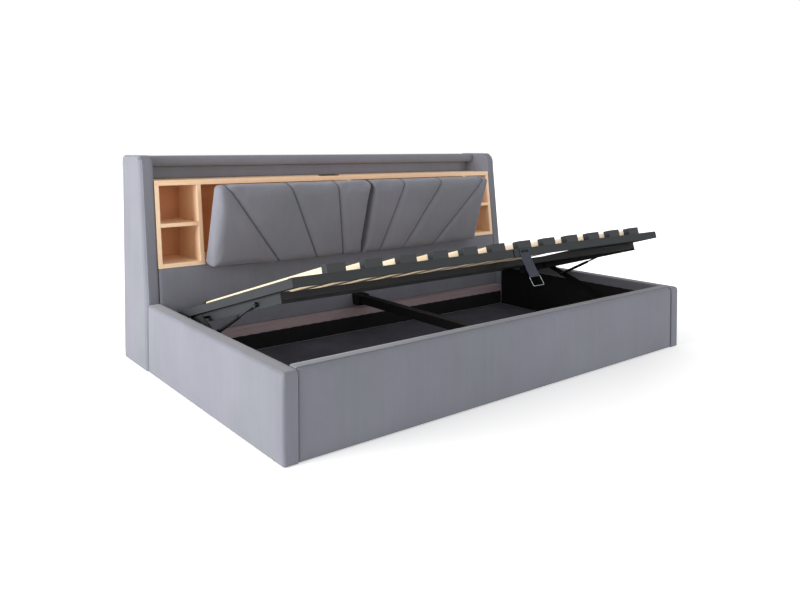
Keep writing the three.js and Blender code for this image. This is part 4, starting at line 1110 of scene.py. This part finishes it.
def rounded_outline(corners, count):
    """A closed outline with rounded corners as evenly spaced points; corners are (a, b, radius)."""
    spots = np.array([c[:2] for c in corners], float)
    line = []
    for k, (_, _, r) in enumerate(corners):
        corner = spots[k]
        before, after = spots[k - 1] - corner, spots[(k + 1) % len(spots)] - corner
        before, after = before / np.linalg.norm(before), after / np.linalg.norm(after)
        half = math.acos(np.clip(before @ after, -1, 1)) / 2
        centre = corner + (before + after) / np.linalg.norm(before + after) * r / math.sin(half)
        start = corner + before * r / math.tan(half) - centre
        end = corner + after * r / math.tan(half) - centre
        turn = np.linspace(0, 1, 9)[:, None]
        arc = start * (1 - turn) + end * turn
        line.append(centre + arc / np.linalg.norm(arc, axis=1, keepdims=True) * r)
    line = np.concatenate([*line, line[0][:1]])
    lengths = np.concatenate([[0], np.cumsum(np.linalg.norm(np.diff(line, axis=0), axis=1))])
    places = np.linspace(0, lengths[-1], count, endpoint=False)
    return np.stack([np.interp(places, lengths, line[:, k]) for k in range(2)], axis=1)


def round_wire(path, across, radius, sides=10):
    """A closed round wire along a flat path.

    At each point a circle of the radius stands in the plane of the path's outward side and across.
    """
    ahead = np.roll(path, -1, axis=0) - np.roll(path, 1, axis=0)
    ahead /= np.linalg.norm(ahead, axis=1, keepdims=True)
    side = np.cross(ahead, across)
    angle = np.linspace(0, 2 * math.pi, sides, endpoint=False)
    ring = side[:, None] * np.cos(angle)[None, :, None] + across * np.sin(angle)[None, :, None]
    faces = grid_quads(len(path), sides, closed=True).tolist()
    i, last = np.arange(sides), (len(path) - 1) * sides
    faces += np.stack([last + i, last + (i + 1) % sides, (i + 1) % sides, i], axis=-1).tolist()
    return (path[:, None] + radius * ring).reshape(-1, 3), faces


WEBBING = spun_cloth("webbing", (72, 74, 84), thread=2600.0, strength=0.8)
fold = STRAP_HALF + WIRE
turn = np.linspace(0, math.pi, 7)[:, None]
route = np.concatenate([
    [(-2.0, -1.0), (-2.0, -14.0), (-2.4, -28.0), (-5.6, -45.0)],
    RING_BAR + FACING * fold - HANG * np.array([[34.0], [12.0], [4.0]]),
    RING_BAR + fold * (FACING * np.cos(turn) + HANG * np.sin(turn)),
    RING_BAR + FACING * (fold - 2.3) - HANG * np.array([[10.0], [26.0], [37.0]])])
points, faces = webbing(eased(route))
strap = piece("strap_webbing", on_deck(points), faces)
settle(strap, "platform", WEBBING, "webbing", "pull_strap")

outline = rounded_outline([(*corner, RING_ROUND) for corner in box_outline(
    RING_LEFT, RING_RIGHT, 0.0, RING_LONG)], 88)
path = np.column_stack([outline[:, 0], RING_BAR + outline[:, 1:] * HANG])
points, faces = round_wire(path, np.array([0.0, *FACING]), WIRE)
RING_STEEL = bright("ring_steel", (150, 152, 154), rough=0.3)
ring = piece("pull_ring", on_deck(points), faces)
settle(ring, "platform", RING_STEEL, "bright_steel", "strap_ring")
# Strap and ring each get a mesh of their own
for hanging, rest_line in ((strap, -0.1), (ring, 1.6)):
    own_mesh(hanging)

outline = box_outline(STRAP_LEFT + PLATE_INSET, STRAP_RIGHT - PLATE_INSET, PLATE_FACE_S, -3.1)
plate = [broken_edges(*prism(outline, 2, -17.0, -6.0), 0.2)]
for x in (STRAP_LEFT + STRAP_SCREW_INSET, STRAP_RIGHT - STRAP_SCREW_INSET):
    plate.append(bolt(1, (x, PLATE_FACE_S, -11.5), 3.4, -1))
points, faces, wear_and_highlight = joined(plate)
settle(piece("strap_plate", on_deck(points), faces, 35.0, stored(wear_and_highlight)), "platform",
       BLACK_STEEL, "black_steel")

# LIFTING GEAR
# On each side a black arm turns on a plate screwed inside the rail and carries the platform on a pin; a
# gas strut between arm and platform takes the weight.
PLATE_Y, PLATE_Z, PLATE_FACE = (367.0, 493.0), (75.0, 151.0), 996.7
PLATE_SCREW = 3.4
DARK_ROD = bright("strut_rod_steel", (74, 76, 79), rough=0.34)
for label, side in SIDES:
    dressed(f"lift_arm_{label}", BLACK_STEEL, "black_steel", 0.8)
    dressed(f"lift_plate_{label}", BLACK_STEEL, "black_steel", 0.6, extra=[
        bolt(0, (side * PLATE_FACE, y, z), PLATE_SCREW, -side) for y in PLATE_Y for z in PLATE_Z])
    dressed(f"strut_rod_{label}", DARK_ROD, "bright_steel", 0.4)
    dressed(f"strut_cylinder_{label}", BLACK_STEEL, "black_steel", 0.6)

# STAGE
# A plain white floor that the camera sees as white a little way off from the bed, where its shadow has
# ended. A broad soft lamp lights the bed from the open left side and a weak one from the front.
floor_mesh = bpy.data.meshes.new("floor")
FLOOR_HALF = 30.0
square = box_outline(-FLOOR_HALF, FLOOR_HALF, -FLOOR_HALF, FLOOR_HALF)
floor_mesh.from_pydata([(x, y, 0) for x, y in square], [], [(0, 1, 2, 3)])
floor = bpy.data.objects.new("floor", floor_mesh)
bpy.context.collection.objects.link(floor)
paint, tree, shader = finish_nodes("floor_paint")
tree.links.new(tones(tree, cloudy(tree, placed(tree), size=0.6),
                     (0.3, (0.90, 0.90, 0.90)), (0.7, (0.93, 0.93, 0.93))), shader.inputs["Base Color"])
shader.inputs["Roughness"].default_value = 0.9
shader.inputs["Specular IOR Level"].default_value = 0.1
away = put(tree, "ShaderNodeVectorMath", operation="LENGTH", Vector=placed(tree)).outputs["Value"]
reach = put(tree, "ShaderNodeMapRange", Value=away, From_Min=1.0, From_Max=3.2,
            To_Min=0.30, To_Max=1.0).outputs[0]
glow = put(tree, "ShaderNodeEmission", Color=(1.0, 1.0, 1.0, 1.0), Strength=reach)
seen = put(tree, "ShaderNodeLightPath").outputs["Is Camera Ray"]
lit = put(tree, "ShaderNodeAddShader")
tree.links.new(shader.outputs["BSDF"], lit.inputs[0])
tree.links.new(glow.outputs["Emission"], lit.inputs[1])
choice = put(tree, "ShaderNodeMixShader")
tree.links.new(seen, choice.inputs["Fac"])
tree.links.new(shader.outputs["BSDF"], choice.inputs[1])
tree.links.new(lit.outputs["Shader"], choice.inputs[2])
tree.links.new(choice.outputs["Shader"], tree.nodes["Material Output"].inputs["Surface"])
floor_mesh.materials.append(paint)

world = bpy.data.worlds.new("world")
bpy.context.scene.world = world
world.use_nodes = True
tree = world.node_tree
dim = tree.nodes["Background"]
dim.inputs["Color"].default_value = (1.0, 1.0, 1.0, 1.0)
dim.inputs["Strength"].default_value = 0.57
white = put(tree, "ShaderNodeBackground", Color=(1.0, 1.0, 1.0, 1.0), Strength=1.0)
paths = put(tree, "ShaderNodeLightPath")
mirrored = sums(tree, "MAXIMUM", paths.outputs["Is Glossy Ray"], paths.outputs["Is Transmission Ray"])
direct = sums(tree, "MAXIMUM", paths.outputs["Is Camera Ray"], mirrored)
choice = put(tree, "ShaderNodeMixShader")
tree.links.new(direct, choice.inputs["Fac"])
tree.links.new(dim.outputs["Background"], choice.inputs[1])
tree.links.new(white.outputs["Background"], choice.inputs[2])
tree.links.new(choice.outputs["Shader"], tree.nodes["World Output"].inputs["Surface"])


def soft_light(name, place, target, size, power):
    """A rectangular light aimed at a point."""
    data = bpy.data.lights.new(name, "AREA")
    data.shape = "RECTANGLE"
    data.size, data.size_y = size
    data.energy = power
    lamp = bpy.data.objects.new(name, data)
    lamp.location = place
    lamp.rotation_euler = (Vector(target) - Vector(place)).to_track_quat("-Z", "Y").to_euler()
    bpy.context.collection.objects.link(lamp)


soft_light("key", (-5.6, 0.4, 1.5), (-0.2, 0.0, 0.3), (3.0, 2.2), 350)
soft_light("front", (1.1, -5.6, 1.2), (0.0, 0.4, 0.5), (4.5, 2.0), 105)
bpy.context.scene.view_settings.view_transform = "Standard"

# CAMERA
# Set to the photograph: from the left front, a little above the headboard's top. Focal length and the
# level of the horizon are in pixels of the 800 x 600 frame.
FRAME_WIDE, FRAME_HIGH, FOCAL, HORIZON = 800, 600, 714.1286, 172.04164
cam_data = bpy.data.cameras.new("camera")
cam = bpy.data.objects.new("camera", cam_data)
bpy.context.collection.objects.link(cam)
bpy.context.scene.camera = cam
cam.location = (-2.05776, -2.54209, 0.93482)
cam.rotation_euler = (math.pi / 2 - 0.03321, 0.0, -0.66813)
cam_data.sensor_width = 36.0
cam_data.lens = FOCAL / FRAME_WIDE * 36
cam_data.shift_y = -(FRAME_HIGH / 2 - HORIZON) / FRAME_WIDE
cam_data.clip_start = 0.05
cam_data.clip_end = 80
